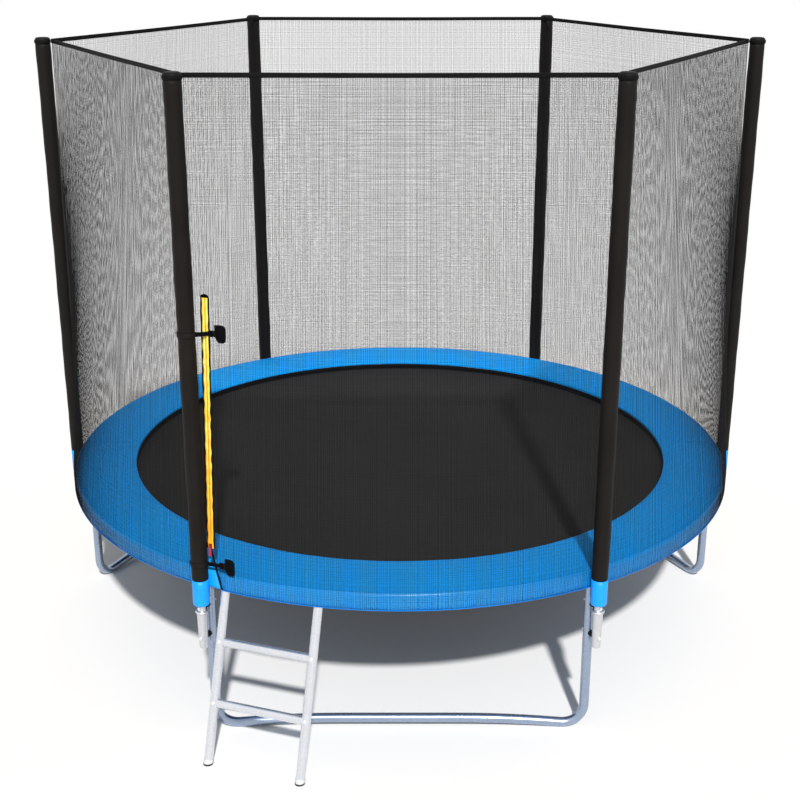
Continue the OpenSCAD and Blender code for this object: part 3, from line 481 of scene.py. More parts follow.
recipes = {  # the maker of each paint, its tones and its other values
    "frameZinc": (zincPaint, pair((146, 160, 182), (160, 173, 194)), 0.27, 200.0),
    "poleZinc": (zincPaint, pair((200, 202, 208), (212, 214, 219)), 0.36, 160.0),
    "ladderZinc": (zincPaint, pair((208, 211, 218), (219, 222, 228)), 0.27, 200.0),
    "boltZinc": (zincPaint, pair((222, 222, 226), (250, 250, 252)), 0.3, 260.0),
    # springs and mat rings: zinc darkened far below the frame's as painted shade, for the shadow they lie in under
    # the pad
    "springZinc": (zincPaint, pair((96, 98, 104), (128, 130, 138)), 0.38, 220.0),
    "padVinyl": (vinylPaint, pair((12, 160, 252), (18, 167, 255)), 0.5, 2.5, 0.08, (1.2485, 1.2525)),
    "hemBlue": (vinylPaint, pair((20, 110, 190), (30, 126, 208)), 0.5, 2.5, 0.1),
    "endVinyl": (vinylPaint, pair((14, 146, 236), (24, 158, 250)), 0.4, 12.0, 0.25),
    "matCloth": (clothPaint, pair((46, 46, 46), (52, 52, 52)), 420.0, 0.8, 3.0, 0.08),
    "sleeveCloth": (clothPaint, pair((20, 17, 15), (27, 24, 22)), 700.0, 0.6, 6.0, 0.12),
    "webbing": (clothPaint, pair((9, 9, 11), (16, 16, 18)), 900.0, 0.7, 9.0, 0.1),
    "netYarn": (clothPaint, pair((20, 20, 21), (30, 30, 32)), 3000.0, 0.7, 5.0, 0.08),
    "blackPlastic": (plasticPaint, pair((12, 11, 11), (20, 19, 19)), 0.6, 0.12),
    "tabCloth": (clothPaint, pair((3, 3, 5), (7, 7, 10)), 900.0, 0.7, 9.0, 0.06),
    "footPlastic": (footPaint, pair((196, 197, 200), (212, 213, 216)), rgb(24, 24, 24), 0.0055),
    # the yellow band: golden low down, pale yellow higher up as a painted highlight
    "yellowCloth": (zipPaint, (0.70, 1.30), pair((246, 158, 20), (250, 190, 50)),
                    pair((244, 208, 60), (255, 242, 120))),
    "zipTeeth": (plasticPaint, pair((236, 158, 30), (250, 190, 48)), 0.35),
    "pullRed": (plasticPaint, pair((150, 16, 60), (186, 30, 74)), 0.32),
    "sliderRed": (plasticPaint, pair((96, 14, 18), (124, 22, 26)), 0.3),
    "seamThread": (clothPaint, pair((10, 150, 242), (16, 158, 250)), 2000.0, 0.6, 20.0, 0.08),
    "darkThread": (clothPaint, pair((26, 26, 28), (36, 36, 38)), 2000.0, 0.7, 20.0, 0.08),
}
paints = {paintName: maker(paintName, *values) for paintName, (maker, *values) in recipes.items()}
print("paints and trees are made")


# Rigid pieces keep their frame shapes and get their finishes

finishes = {
    "frameZinc": ["frame_rail_%d" % k for k in range(1, 7)] + ["leg_extension_%d" % k for k in range(1, 7)]
    + ["leg_base_front", "leg_base_right", "leg_base_left"],
    "poleZinc": ["lower_poles"] + ["upper_pole_%d" % k for k in range(1, 7)],
    "ladderZinc": ["ladder_rail_left", "ladder_rail_right", "ladder_rungs"],
    "boltZinc": ["bolts", "nuts"],
    "blackPlastic": ["pole_caps", "pole_spacers"],
    "footPlastic": ["ladder_feet"],
    "sliderRed": ["zip_slider"],
    "pullRed": ["zip_pull"],
}
for paintName, members in finishes.items():
    for member in members:
        holder = nodes[member]
        if not holder.material_slots:
            holder.data.materials.append(paints[paintName])
        for place in holder.material_slots:
            place.material = paints[paintName]
print("frame finishes are on")


# Safety net

net = {"footRadius": 1.2628, "hemRadius": 1.2605, "foot": 0.5474, "fold": 0.603, "topRadius": 1.249, "top": 2.1423,
       "mesh": 0.0059, "row": 0.0034, "upright": 0.00050, "weft": 0.00034, "uneven": 0.16, "chords": 12,
       "endGap": 0.25,
       "zipFoot": 0.683, "zipTop": 1.507, "zipFootAngle": 1.62, "zipTopAngle": 2.06, "doorFootAngle": 3.25,
       "zipHalf": 0.72, "zipLean": 0.22}


def netRadius(angle, height):
    edge = net["topRadius"] * cosD(30) / cosD((np.asarray(angle) + 360) % 60 - 30)
    share = np.maximum(np.asarray(height) - net["fold"], 0) / (net["top"] - net["fold"])
    return net["footRadius"] + (edge - net["footRadius"]) * share


def netPoint(angle, height):
    return polar(netRadius(angle, height), angle, height)


def zipAngle(height):  # from the door's pole, in degrees
    share = np.clip((height - net["zipFoot"]) / (net["zipTop"] - net["zipFoot"]), 0, 1)
    above = net["zipFootAngle"] + (net["zipTopAngle"] - net["zipFootAngle"]) * share
    down = np.clip((net["zipFoot"] - height) / (net["zipFoot"] - net["foot"]), 0, 1)
    return above + (net["doorFootAngle"] - net["zipFootAngle"]) * down


def doorSpans(angle):  # the stretches of an upright of the door panel, beside the zip
    nearAngle, foot = net["zipFootAngle"], net["foot"]
    if angle < net["doorFootAngle"]:
        share = max(angle - nearAngle, 0) / (net["doorFootAngle"] - nearAngle)
        foot = net["zipFoot"] - share * (net["zipFoot"] - net["foot"])
    if abs(angle - (nearAngle + net["zipTopAngle"]) / 2) >= net["zipHalf"] + net["zipLean"]:
        return [(foot, net["top"])]
    below = [(foot, net["zipFoot"])] if angle > nearAngle + net["zipHalf"] else []
    return [(net["zipTop"], net["top"])] + below


def netUprights(start, door):
    lines = []
    low, high = net["endGap"], poles["step"] - net["endGap"]
    count = int(round(math.radians(high - low) * net["footRadius"] / net["mesh"]))
    shift = randomSource.normal(0, net["uneven"], count) * (high - low) / (count - 1)
    for angle in np.clip(np.linspace(low, high, count) + shift, low, high):
        for foot, top in doorSpans(angle) if door else [(net["foot"], net["top"])]:
            if top - foot > 0.004:
                heights = [foot] + [net["fold"]] * (foot < net["fold"] < top) + [top]
                lines.append([netPoint(start + angle, h) for h in heights])
    return lines


def netRows(start, door):
    lines = []
    low, high = net["endGap"], poles["step"] - net["endGap"]
    count = int(round((net["top"] - net["foot"]) / net["row"]))
    shift = randomSource.normal(0, net["uneven"], count) * net["row"]
    for height in np.clip(np.linspace(net["foot"], net["top"], count) + shift, net["foot"], net["top"]):
        spans, middle = [(low, high)], float(zipAngle(height))
        if door and height < net["zipFoot"]:
            spans = [(middle + 0.1, high)]
        elif door and height < net["zipTop"]:
            spans = [(low, middle - net["zipHalf"]), (middle + net["zipHalf"], high)]
        for first, last in spans:
            if last - first > 0.1:
                steps = max(2, int(round((last - first) / poles["step"] * net["chords"])) + 1)
                lines.append(netPoint(start + np.linspace(first, last, steps), height))
    return lines


panels = [("netPanel%d" % k, "net_%d" % k, a, False) for k, a in ((1, 0), (2, 60), (3, 120), (4, 180), (5, 300))]
panels.append(("netDoorPanel", "net_door", 240, True))
cut = (math.radians(poles["step"] - 2 * net["endGap"]) * net["footRadius"], net["top"] - net["foot"])
for name, node, start, door in panels:
    strands = [string(name + "Part", lines, "netYarn", thick, 3)
               for lines, thick in ((netUprights(start, door), net["upright"]),
                                    (netRows(start, door), net["weft"]))]
    panel = gather(name, strands, "netYarn")
    settle(panel, "frame", "net", node)


# Bands, loops and hem of the net

band = {"width": 0.0145, "thick": 0.0024, "radius": net["topRadius"], "bottom": net["top"], "corner": 0.6,
        "loopRadius": 0.0289, "loopThick": 0.0014, "loopWidth": 0.010, "loopTurn": 152, "seam": 0.0042,
        "soften": 0.0012, "sag": 0.0015}
upwards = (0, 0, 1.0)


def ribbon(name, path, ups, outs, size, closed=False):
    # a strap with rounded edges: path is its middle, ups point across its width, outs out of its face
    width, thick = size
    across = width / 2 * 0.96 * np.linspace(1, -1, 5)
    section = [(x, thick / 2) for x in across] + [(-width / 2, 0)]
    section += [(-x, -thick / 2) for x in across] + [(width / 2, 0)]
    path, ups, outs = np.broadcast_arrays(*(np.asarray(v, float) for v in (path, ups, outs)))
    verts = [p + u * a + o * b for p, u, o in zip(path, ups, outs) for a, b in section]
    count = len(section)
    faces = gridFaces(len(path), count, closeRows=closed, closeColumns=True)
    if not closed:
        faces += endFaces(0, len(verts) - count, count)
    return faceOut(meshPiece(name, verts, faces, "webbing"))


def bandPath():
    parts = np.linspace(-band["corner"], band["corner"], 5), np.linspace(4, 56, 14)  # corner, then side
    angles = np.concatenate([k * 60 + part for k in range(6) for part in parts])
    radii = band["radius"] * cosD(30) / cosD(angles % 60 - 30)
    soften = np.where(np.abs((angles + 30) % 60 - 30) < band["corner"] / 2, band["soften"], 0.0)
    points = polar(radii - soften, angles, band["bottom"] + band["width"] / 2)
    sag = band["sag"] * sinD((angles % 60) * 3) ** 2
    points[:, 2] -= np.where((angles % 60 > 2) & (angles % 60 < 58), sag, 0)
    near = (np.abs((angles + 30) % 60 - 30) <= band["corner"] + 0.01)
    facing = np.where(near, angles, np.floor(angles / 60) * 60 + 30)
    return points, polar(1.0, facing)


points, outs = bandPath()
topBand = ribbon("netBand", points, upwards, outs, (band["width"], band["thick"]), closed=True)
settle(topBand, "frame", "webbing", "net_band")

rows = []
for shift in (-band["seam"], band["seam"]):
    line = points + np.array([0, 0, shift]) + outs * (band["thick"] / 2 + 0.0002)
    rows.append(np.vstack([line, line[:1]]))
sew("netBandStitches", rows, "darkThread", (0.007, 0.0004, 0.0045), "frame", "webbing")

loops = []
turn = np.linspace(-band["loopTurn"], band["loopTurn"], 49)
for k in range(6):  # a loop of the band goes round each sleeve
    middle = polar(band["loopRadius"], turn) + np.array([poles["circle"], 0, band["bottom"] + 0.0052])
    loops.append(ribbon("loopPart", turnZ(middle, 60 * k), upwards, polar(1.0, turn + 60 * k),
                        (band["loopWidth"], band["loopThick"])))
settle(gather("netLoops", loops, "webbing"), "frame", "webbing", "net_loops")

hem = {"radius": net["hemRadius"], "height": 0.5435, "thick": 0.0036,
       "start": poles["door"] + net["doorFootAngle"] - 0.1}
hemAngles = np.linspace(hem["start"], hem["start"] + 360 - net["doorFootAngle"] + 0.1, 481)
hemLine = polar(hem["radius"] + 0.0002 * sinD(hemAngles * 17), hemAngles, hem["height"])
settle(string("netHem", [hemLine], "hemBlue", hem["thick"] / 2, 10), "frame", "webbing", "net_hem")
print("net band, loops and hem are on")


# Foam sleeves and their blue ends

sleeve = {"radius": 0.0269, "foot": 0.575, "top": 2.140, "rings": 150, "sides": 44, "wobble": 0.006,
          "endFoot": 0.487, "endRadius": 0.026, "endTop": 0.5765, "dentReach": net["footRadius"] + 0.0016}
atPole = np.array([poles["circle"], 0, 0])


def dentRadius(height):  # how far out the net lies at a pole
    lean = (net["footRadius"] - net["topRadius"]) / (net["top"] - net["fold"])
    return sleeve["dentReach"] - max(height - net["fold"], 0) * lean + 0.0002


def sleeveRing(radius, height, phase):
    turn, wobble = evenTurn(sleeve["sides"]), sleeve["wobble"]
    r = radius * (1 + wobble * sinD(2 * turn + phase) + 0.6 * wobble * sinD(3 * turn + 1.7 * phase))
    ringPoints = polar(r, turn, height) + atPole
    ringPoints[:, 0] = np.maximum(ringPoints[:, 0], dentRadius(height))
    return ringPoints


for k in range(6):
    verts = []
    sides, rings = sleeve["sides"], sleeve["rings"]
    heights = np.linspace(sleeve["foot"], sleeve["top"], rings)
    shift = randomSource.uniform(0, 360, 2)
    for i, height in enumerate(heights):
        lip = -0.0003 * max(0, 1 - min(i, rings - 1 - i) / 1.5)
        soft = 0.0005 * math.sin(height * 21 + shift[0]) + 0.0003 * math.sin(height * 57 + shift[1])
        verts += list(sleeveRing(sleeve["radius"] + lip + soft, height, 40 * height + shift[1]))
    faces = gridFaces(rings, sides, closeColumns=True)
    for end in (0, rings - 1):  # the cover turns in over the foam, down to the pole
        first = len(verts)
        verts += list(polar(poles["radius"] + 0.0003, evenTurn(sides), heights[end]) + atPole)
        for j in range(sides):
            n = (j + 1) % sides
            near, far = end * sides, first
            face = (near + j, near + n, far + n, far + j)
            faces.append(face if end else (face[0], face[3], face[2], face[1]))
    label = str(k + 1)
    piece = faceOut(meshPiece("foamSleeve" + label, turnZ(np.array(verts), 60 * k), faces, "sleeveCloth"))
    settle(piece, "frame", "sleeve", "foam_sleeve_" + label)

endProfile = [(0.0, 1.0), (0.3, 1.0), (0.6, 1.002), (0.85, 1.004), (0.95, 1.0), (0.985, 0.975),
              (1.0, 0.93), (1.0, 0.62)]  # share of the way down, share of the radius
shapes = []
for k in range(6):
    verts = []
    for down, scale in endProfile:
        height = sleeve["endTop"] + (sleeve["endFoot"] - sleeve["endTop"]) * down
        turn = evenTurn(48)
        r = sleeve["endRadius"] * scale * (1 + 0.004 * sinD(5 * turn + 90 * k + 300 * down))
        p = polar(r, turn, height) + atPole
        p[:, 0] = np.maximum(p[:, 0], dentRadius(height))
        verts += list(turnZ(p, 60 * k))
    shapes.append((verts, gridFaces(len(endProfile), 48, closeColumns=True)))
ends = meshPiece("sleeveEnds", *joinShapes(shapes), "endVinyl")
wall = ends.modifiers.new("wall", "SOLIDIFY")
wall.thickness, wall.offset = 0.0012, 1.0
settle(faceOut(ends), "frame", "sleeve_end", "sleeve_ends")
seamRows = [turnZ(polar(sleeve["endRadius"] + 0.0003, np.linspace(-115, 115, 40), z) + atPole, 60 * k)
            for k in range(6) for z in (0.5695, 0.4985)]
sew("sleeveEndStitches", seamRows, "seamThread", (0.0052, 0.00035, 0.0034), "frame", "sleeve_end")
print("foam sleeves are on")


# Safety pad

pad = {"inner": 1.0285, "outer": 1.2585, "under": 0.5895, "edge": 0.600, "crown": 0.606, "skirtFoot": 0.5435,
       "skirtInner": 1.2572, "foldRadius": 0.010, "innerFold": 0.005, "steps": 720, "topWave": 0.0009,
       "foldWave": 0.0004, "skirtWave": 0.0006, "joinDepth": 0.0003, "joinPull": 0.0008, "joinWide": 0.45,
       "pullWide": 2.4, "seamAngle": 0.28}


def padProfile():  # radius, height and what the row is: 0 wall, 0 to 1 fold, 1 top, below 0 skirt
    inner, outer, edge, under, skirt = (pad[key] for key in ("inner", "outer", "edge", "under", "skirtFoot"))
    tight, wide, back = pad["innerFold"], pad["foldRadius"], pad["skirtInner"]
    rows = [(inner + 0.0002, z, 0) for z in np.linspace(under, edge - tight, 4)]
    rows += [(inner + tight * (1 - cosD(t)), edge - tight * (1 - sinD(t)), 0.3) for t in np.linspace(15, 90, 5)]
    for t in np.linspace(0, 1, 22)[1:-1]:
        r = inner + tight + (outer - wide - inner - tight) * t
        rows.append((r, edge + (pad["crown"] - edge) * math.sin(math.pi * t) ** 0.8, 1))
    rows += [(outer - wide * (1 - cosD(t)), edge - wide * (1 - sinD(t)), 0.4) for t in np.linspace(90, 0, 8)]
    rows += [(outer, edge - wide + (skirt + wide - edge) * t, -t) for t in np.linspace(0, 1, 9)[1:]]
    rows.append((back, skirt, -1))
    rows += [(back, skirt + (under - skirt) * t, -1 + t) for t in np.linspace(0, 1, 6)[1:]]
    return rows + [(back + (inner - back) * t, under, 0) for t in np.linspace(0, 1, 10)[1:-1]]


def padWave(angles, seed, terms):
    source = np.random.default_rng(seed)
    total = np.zeros_like(angles)
    for count in terms:
        share = source.normal(0, 1) / math.sqrt(len(terms))
        total += share * np.sin(np.radians(count * angles) + source.uniform(0, math.tau))
    return total


angles = evenTurn(pad["steps"])
toJoin = np.abs((angles + 30) % 60 - 30)  # degrees to the nearest join, one beside each pole
groove, pull = (np.exp(-(toJoin / pad[key]) ** 2) for key in ("joinWide", "pullWide"))
topWave = padWave(angles, 3, (5, 7, 11, 16, 23))
foldWave = padWave(angles, 5, (9, 14, 22, 31, 47))
skirtWave = padWave(angles, 8, (13, 21, 34, 55, 72))
padVerts, profile = [], padProfile()
for r, z, kind in profile:
    height, radius = np.full_like(angles, z), np.full_like(angles, r)
    if kind == 1:
        across = (r - pad["inner"]) / (pad["outer"] - pad["inner"])
        height += (pad["topWave"] * topWave - pad["joinPull"] * pull) * math.sin(math.pi * across)
        height += pad["foldWave"] * foldWave * across - pad["joinDepth"] * groove
    elif kind > 0:
        height += pad["foldWave"] * foldWave - pad["joinDepth"] * 0.7 * groove
        radius += 0.0003 * foldWave * (1 if r > 1.2 else -0.5)
    elif kind < 0:
        radius += -kind * pad["skirtWave"] * skirtWave + 0.0003 * foldWave
    if kind == -1:
        height += pad["skirtWave"] * padWave(angles, 21, (8, 13, 29))
    padVerts += list(polar(np.clip(radius, pad["inner"], pad["outer"] + 0.0008), angles, height))
padFaces = gridFaces(len(profile), pad["steps"], closeRows=True, closeColumns=True)
padCover = faceOut(meshPiece("safetyPad", padVerts, padFaces, "padVinyl"))
settle(padCover, "frame", "pad", "pad_cover", "pad_foam")

padRows = []
fullTurn = np.linspace(0, 360, 721)
foldLine = np.interp(fullTurn, np.append(angles, 360), np.append(foldWave, foldWave[0]))
for r, z in ((pad["outer"] - 0.013, pad["edge"] + 0.0012), (pad["inner"] + 0.012, pad["edge"] + 0.0013)):
    padRows.append(polar(r, fullTurn, z + pad["foldWave"] * foldLine + 0.0003))
padRows.append(polar(pad["outer"] + 0.0008, fullTurn, pad["skirtFoot"] + 0.007))
for k in range(6):
    for side in (-pad["seamAngle"], pad["seamAngle"]):
        across = np.linspace(0.06, 0.94, 24)
        padRows.append(polar(pad["inner"] + (pad["outer"] - pad["inner"]) * across, 60 * k + side,
                             pad["edge"] + (pad["crown"] - pad["edge"]) * np.sin(math.pi * across) ** 0.8 - 0.0008))
sew("padStitches", padRows, "seamThread", (0.0062, 0.0004, 0.0042), "frame", "pad")

# a black trim round the pad's inner edge, hung below its underside so the gap under that edge shows black: partly
# real trim, partly painted shade
trimAndShade = {"radius": pad["inner"] + 0.0012, "width": 0.013, "thick": 0.0014}
bindAngles = np.arange(360.0)
bindPath = polar(trimAndShade["radius"], bindAngles, pad["under"] - trimAndShade["width"] / 2 - 0.0003)
bindPath[:, 2] += 0.0003 * padWave(bindAngles, 31, (11, 17, 29))
padTrimAndShadeBand = ribbon("padTrimAndShadeBand", bindPath, upwards, polar(1.0, bindAngles),
                    (trimAndShade["width"], trimAndShade["thick"]), closed=True)
settle(padTrimAndShadeBand, "frame", "webbing")

ties = {"count": 12, "width": 0.020, "thick": 0.0014, "loop": 0.0187, "reach": 0.0055}
turn = np.linspace(-255, 75, 45)
away = np.stack([cosD(turn), 0 * turn, sinD(turn)], -1)
head = [[ring["radius"] + side * ties["reach"], 0, pad["under"] - 0.0004] for side in (-1, 1)]
tiePath = np.vstack([head[:1], np.array([ring["radius"], 0, ring["height"]]) + ties["loop"] * away, head[1:]])
tieOuts = np.vstack([[[-1, 0, 0]], away, [[1, 0, 0]]])
parts = []
for k in range(ties["count"]):  # elastic straps from the pad's underside round the ring
    angle = (k + 0.5) * 360 / ties["count"]
    parts.append(ribbon("tiePart", turnZ(tiePath, angle), turnZ([0, 1.0, 0], angle), turnZ(tieOuts, angle),
                        (ties["width"], ties["thick"])))
settle(gather("padTies", parts, "webbing"), "frame", "webbing", "pad_ties")
print("safety pad is on")


# Jumping mat, border, rings and springs

mat = {"radius": 1.040, "half": 0.001, "height": ring["height"], "rings": 60, "sides": 180,
       "borderOut": 1.062, "borderHalf": 0.0035, "lap": 0.012, "borderSides": 480}
matVerts = []
radii = np.concatenate([[0.0], np.linspace(0.02, mat["radius"], mat["rings"])])
matAngles = evenTurn(mat["sides"])
for side in (1, -1):
    for r in radii if side > 0 else radii[::-1]:
        matVerts += list(polar(r, matAngles, mat["height"] + side * mat["half"]))
matFaces = gridFaces(2 * len(radii), mat["sides"], closeColumns=True)
jumpMat = faceOut(meshPiece("jumpMat", matVerts, matFaces, "matCloth"))
settle(jumpMat, "mat", "mat", "jump_mat")

def bulge(value, power):
    return math.copysign(abs(value) ** power, value)


half, middle = ((mat["borderOut"] + sign * (mat["radius"] - mat["lap"])) / 2 for sign in (-1, 1))
borderAngles = evenTurn(mat["borderSides"])
pucker = 0.0003 * cosD((borderAngles - 1.9) * 48)
borderVerts, borderTurns = [], evenTurn(28)
for t in borderTurns:
    r = middle + half * bulge(cosD(t), 0.45)
    borderVerts += list(polar(r + (pucker if r > mat["radius"] else 0), borderAngles,
                              mat["height"] + mat["borderHalf"] * bulge(sinD(t), 0.7)))
borderFaces = gridFaces(len(borderTurns), mat["borderSides"], closeRows=True, closeColumns=True)
settle(faceOut(meshPiece("matBorder", borderVerts, borderFaces, "webbing")), "mat", "webbing", "mat_border")
borderStitch = [polar(r, np.linspace(0, 360, 481), mat["height"] + mat["borderHalf"] + 0.0001)
                for r in (1.0335, 1.0365, 1.0505, 1.0535)]
sew("borderStitches", borderStitch, "darkThread", (0.0055, 0.00045, 0.0038), "mat", "webbing")

spring = {"count": 48, "offset": 1.9, "coil": 0.0085, "wire": 0.0016, "out": 1.1995, "length": 0.100,
          "hook": 0.0036, "tip": 1.08614, "turns": 28, "perTurn": 10, "vWire": 0.0015, "vBase": 1.05514,
          "halfBase": 0.022, "halfTip": 0.004, "ringWall": 1.2155, "ringTip": 0.007}


def roundLine(points, steps, closed=False):  # a rounded path through a few points
    p = [np.asarray(v, float) for v in points]
    p = [p[-1]] + p + p[:2] if closed else [2 * p[0] - p[1]] + p + [2 * p[-1] - p[-2]]
    line = []
    for a, b, c, d in zip(p, p[1:], p[2:], p[3:]):
        for t in np.linspace(0, 1, steps, endpoint=False):
            bend = (2 * a - 5 * b + 4 * c - d) * t * t + (3 * b - a - 3 * c + d) * t ** 3
            line.append(0.5 * (2 * b + (c - a) * t + bend))
    return line if closed else line + [p[-2]]


def springLine():
    inner = spring["out"] - spring["length"]
    coilR = spring["coil"] - spring["wire"]
    line = []
    for t in np.linspace(250, 90, 15):  # open hook round the tip of the mat's ring
        line.append((spring["tip"] - spring["hook"] * cosD(t), 0, spring["hook"] * sinD(t)))
    lead = [(spring["tip"] + 0.006, 0, 0.0016), (inner - 0.004, 0, 0.0004), (inner - 0.0012, 0.002, coilR * 0.6)]
    line += roundLine([line[-1]] + lead, 4)[1:-1]
    steps = spring["turns"] * spring["perTurn"]
    for k in range(steps + 1):
        t = k / steps
        turn = math.tau * (spring["turns"] * t + 0.25)
        x = inner + spring["wire"] + (spring["length"] - 2 * spring["wire"]) * t
        line.append((x, -coilR * math.cos(turn), coilR * math.sin(turn)))
    wall, end = spring["ringWall"], spring["ringWall"] + spring["ringTip"]
    line += roundLine([line[-1], (spring["out"] + 0.0015, 0.002, coilR * 0.5), (spring["out"] + 0.005, 0, 0.0004),
                       (wall + 0.002, 0, 0), (end - 0.0012, 0, -0.0005), (end, 0, -0.003),
                       (end, 0, -spring["ringTip"])], 4)[1:]
    return np.array(line)


coilPath = springLine() + np.array([0, 0, ring["height"]])
springMesh = string("coilSpringShape", [coilPath], "springZinc", spring["wire"], 6)
springEnds = (spring["ringWall"] - 0.002, spring["tip"] - spring["hook"])
for k in range(spring["count"]):
    angle = k * 360 / spring["count"] + spring["offset"]
    piece = addObject("coilSpring%02d" % (k + 1), springMesh.data.copy())
    shape = np.array([tuple(v.co) for v in piece.data.vertices])
    piece.data.vertices.foreach_set("co", turnZ(shape, angle).ravel())
    piece.data.update()
    outer, inner = (tuple(float(v) for v in polar(r, angle, ring["height"])) for r in springEnds)
    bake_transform(piece)
    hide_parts("springs")
bpy.data.objects.remove(springMesh)

corners = np.array([(spring["vBase"], -spring["halfBase"]), (spring["tip"], -spring["halfTip"]),
                    (spring["tip"], spring["halfTip"]), (spring["vBase"], spring["halfBase"])])
ringLine = []
for i, cut in enumerate((0.005, 0.003, 0.003, 0.005)):  # straight sides and rounded corners
    here = corners[i]
    a, b = (here + (other - here) / np.linalg.norm(other - here) * cut
            for other in (corners[i - 1], corners[(i + 1) % 4]))
    for t in np.linspace(0, 1, 6):
        ringLine.append((1 - t) ** 2 * a + 2 * t * (1 - t) * here + t * t * b)
ringLine = [(x, y, ring["height"]) for x, y in ringLine]
oneRing = string("matRingShape", [ringLine], "springZinc", spring["vWire"], 8, closed=True)
settle(grow("around", "matRings", oneRing.data.copy(), "springZinc", Count=spring["count"],
            Start_angle=math.radians(spring["offset"])), "mat", "spring_steel", "v_rings")
bpy.data.objects.remove(oneRing)
print("mat and springs are on")


# Zip beside the door's pole

zipper = {"low": np.array([-0.59938, -1.10946, 0.6853]), "length": 0.8197, "half": 0.0148, "thick": 0.0016,
          "x": np.array([0.94652, -0.32225, -0.01568]), "y": np.array([0.32186, 0.94651, -0.02304]),
          "z": np.array([0.02226, 0.01676, 0.99961]), "bandIn": 0.0010, "bandOut": 0.0095, "bandThick": 0.0005,
          "bandCrown": 0.0007, "wave": 0.0015, "waveStep": 0.027, "ridge": 0.0013, "ridgeLow": 0.0008,
          "ridgeHigh": 0.0021, "toothStep": 0.0026, "capHalf": 0.0148 * 0.93, "capNear": -0.0029,
          "capFoot": 0.0018, "capHigh": 0.0085, "capSteps": 24, "seam": 0.0125}
zipFace = -zipper["thick"] / 2


def onZip(x, y, z):
    x, y, z = np.broadcast_arrays(x, y, z)
    return zipper["low"] + x[..., None] * zipper["x"] + y[..., None] * zipper["y"] + z[..., None] * zipper["z"]


along = np.linspace(0, zipper["length"], 560)


def zipStrip(name, left, right, near, far, paint, crown=0.00012):
    # a flat strip on the zip: left and right are its edges along the length, near and far its faces
    loop = np.stack([onZip(x, y, along) for x, y in (
        (left, near), ((left + right) / 2, near - crown), (right, near), (right, far), (left, far))], 1)
    faces = gridFaces(len(along), 5, closeColumns=True) + endFaces(0, 5 * len(along) - 5, 5)
    return faceOut(meshPiece(name, loop.reshape(-1, 3), faces, paint))


edgeSlack = 0.0006 * np.sin(along * 31) + 0.0003 * np.sin(along * 87)
settle(zipStrip("zipTape", -zipper["half"] + edgeSlack, zipper["half"] + 0.7 * edgeSlack, zipFace, -zipFace,
                "webbing"), "frame", "zip", "zip_tape")
for side, label in ((-1, "Left"), (1, "Right")):
    slow = np.sin(along / zipper["waveStep"] * math.pi + side)
    quick = 0.8 * np.sin(along * 143 + side * 2) * np.sin(along * 17)
    inner = side * zipper["bandIn"]
    outer = side * (zipper["bandOut"] + zipper["wave"] * 0.5 * (slow + quick))
    left, right = (inner, outer) if side > 0 else (outer, inner)
    settle(zipStrip("zipBand" + label, left, right, zipFace - zipper["bandThick"] - 0.0002 * (1 + slow), zipFace,
                    "yellowCloth", crown=zipper["bandCrown"]), "frame", "zip")
toothVerts, toothFaces = [], []
toothCount = int(zipper["length"] / zipper["toothStep"])
for k in range(toothCount):
    z = (k + 0.5) * zipper["length"] / toothCount
    side = 1 if k % 2 else -1
    reach = (-zipper["ridge"], zipper["ridge"] * 0.45) if side < 0 else (-zipper["ridge"] * 0.45, zipper["ridge"])
    half = zipper["toothStep"] * 0.36
    first = len(toothVerts)
    for y, pinch in ((-zipper["ridgeLow"], 1.0), (-zipper["ridgeHigh"] * 0.85, 0.95), (-zipper["ridgeHigh"], 0.6)):
        shrink = (1 - pinch) * 0.0012
        for x, dz in ((reach[0] + shrink, -half * pinch), (reach[1] - shrink, -half * pinch),
                      (reach[1] - shrink, half * pinch), (reach[0] + shrink, half * pinch)):
            toothVerts.append(onZip(x, y, z + dz))
    toothFaces += gridFaces(3, 4, closeColumns=True, start=first)
    toothFaces += endFaces(first, first + 8, 4)
settle(faceOut(meshPiece("zipTeeth", toothVerts, toothFaces, "zipTeeth", smooth=False)), "frame", "zip")
capTurn = np.linspace(0, math.pi, zipper["capSteps"])  # the rounded black end, past the slider's reach
capEdge = list(zip(zipper["capHalf"] * np.cos(capTurn),
                   zipper["length"] + zipper["capFoot"] + zipper["capHigh"] * np.sin(capTurn)))
capEdge += [(side * zipper["capHalf"], zipper["length"] - 0.0003) for side in (-1, 1)]
capVerts = [onZip(x, y, z) for y in (zipper["capNear"], zipFace) for x, z in capEdge]
capFaces = gridFaces(2, len(capEdge), closeColumns=True) + endFaces(0, len(capEdge), len(capEdge))
settle(faceOut(meshPiece("zipEnd", capVerts, capFaces, "tabCloth", smooth=False)), "frame", "zip")
zipRows = [onZip(x, zipFace - 0.0001, np.linspace(0.001, zipper["length"] - 0.001, 80))
           for x in (-zipper["seam"], zipper["seam"])]
sew("zipStitches", zipRows, "darkThread", (0.006, 0.0004, 0.004), "frame", "zip")

edgeHeights = np.linspace(0.5475, net["zipFoot"] - 0.001, 24)
edgeAngles = poles["door"] + zipAngle(edgeHeights)
edgePath = polar(netRadius(edgeAngles, edgeHeights) + 0.0002, edgeAngles, edgeHeights)
alongEdge = np.gradient(edgePath, axis=0)
alongEdge /= np.linalg.norm(alongEdge, axis=1)[:, None]
edgeOuts = polar(1.0, edgeAngles, 0.0)
edgeUps = np.cross(edgeOuts, alongEdge)
edgeUps /= np.linalg.norm(edgeUps, axis=1)[:, None]
settle(ribbon("doorEdge", edgePath, edgeUps, edgeOuts, (0.007, 0.0018)), "frame", "webbing")
print("zip is on")


# Door straps, side-release clips and tabs

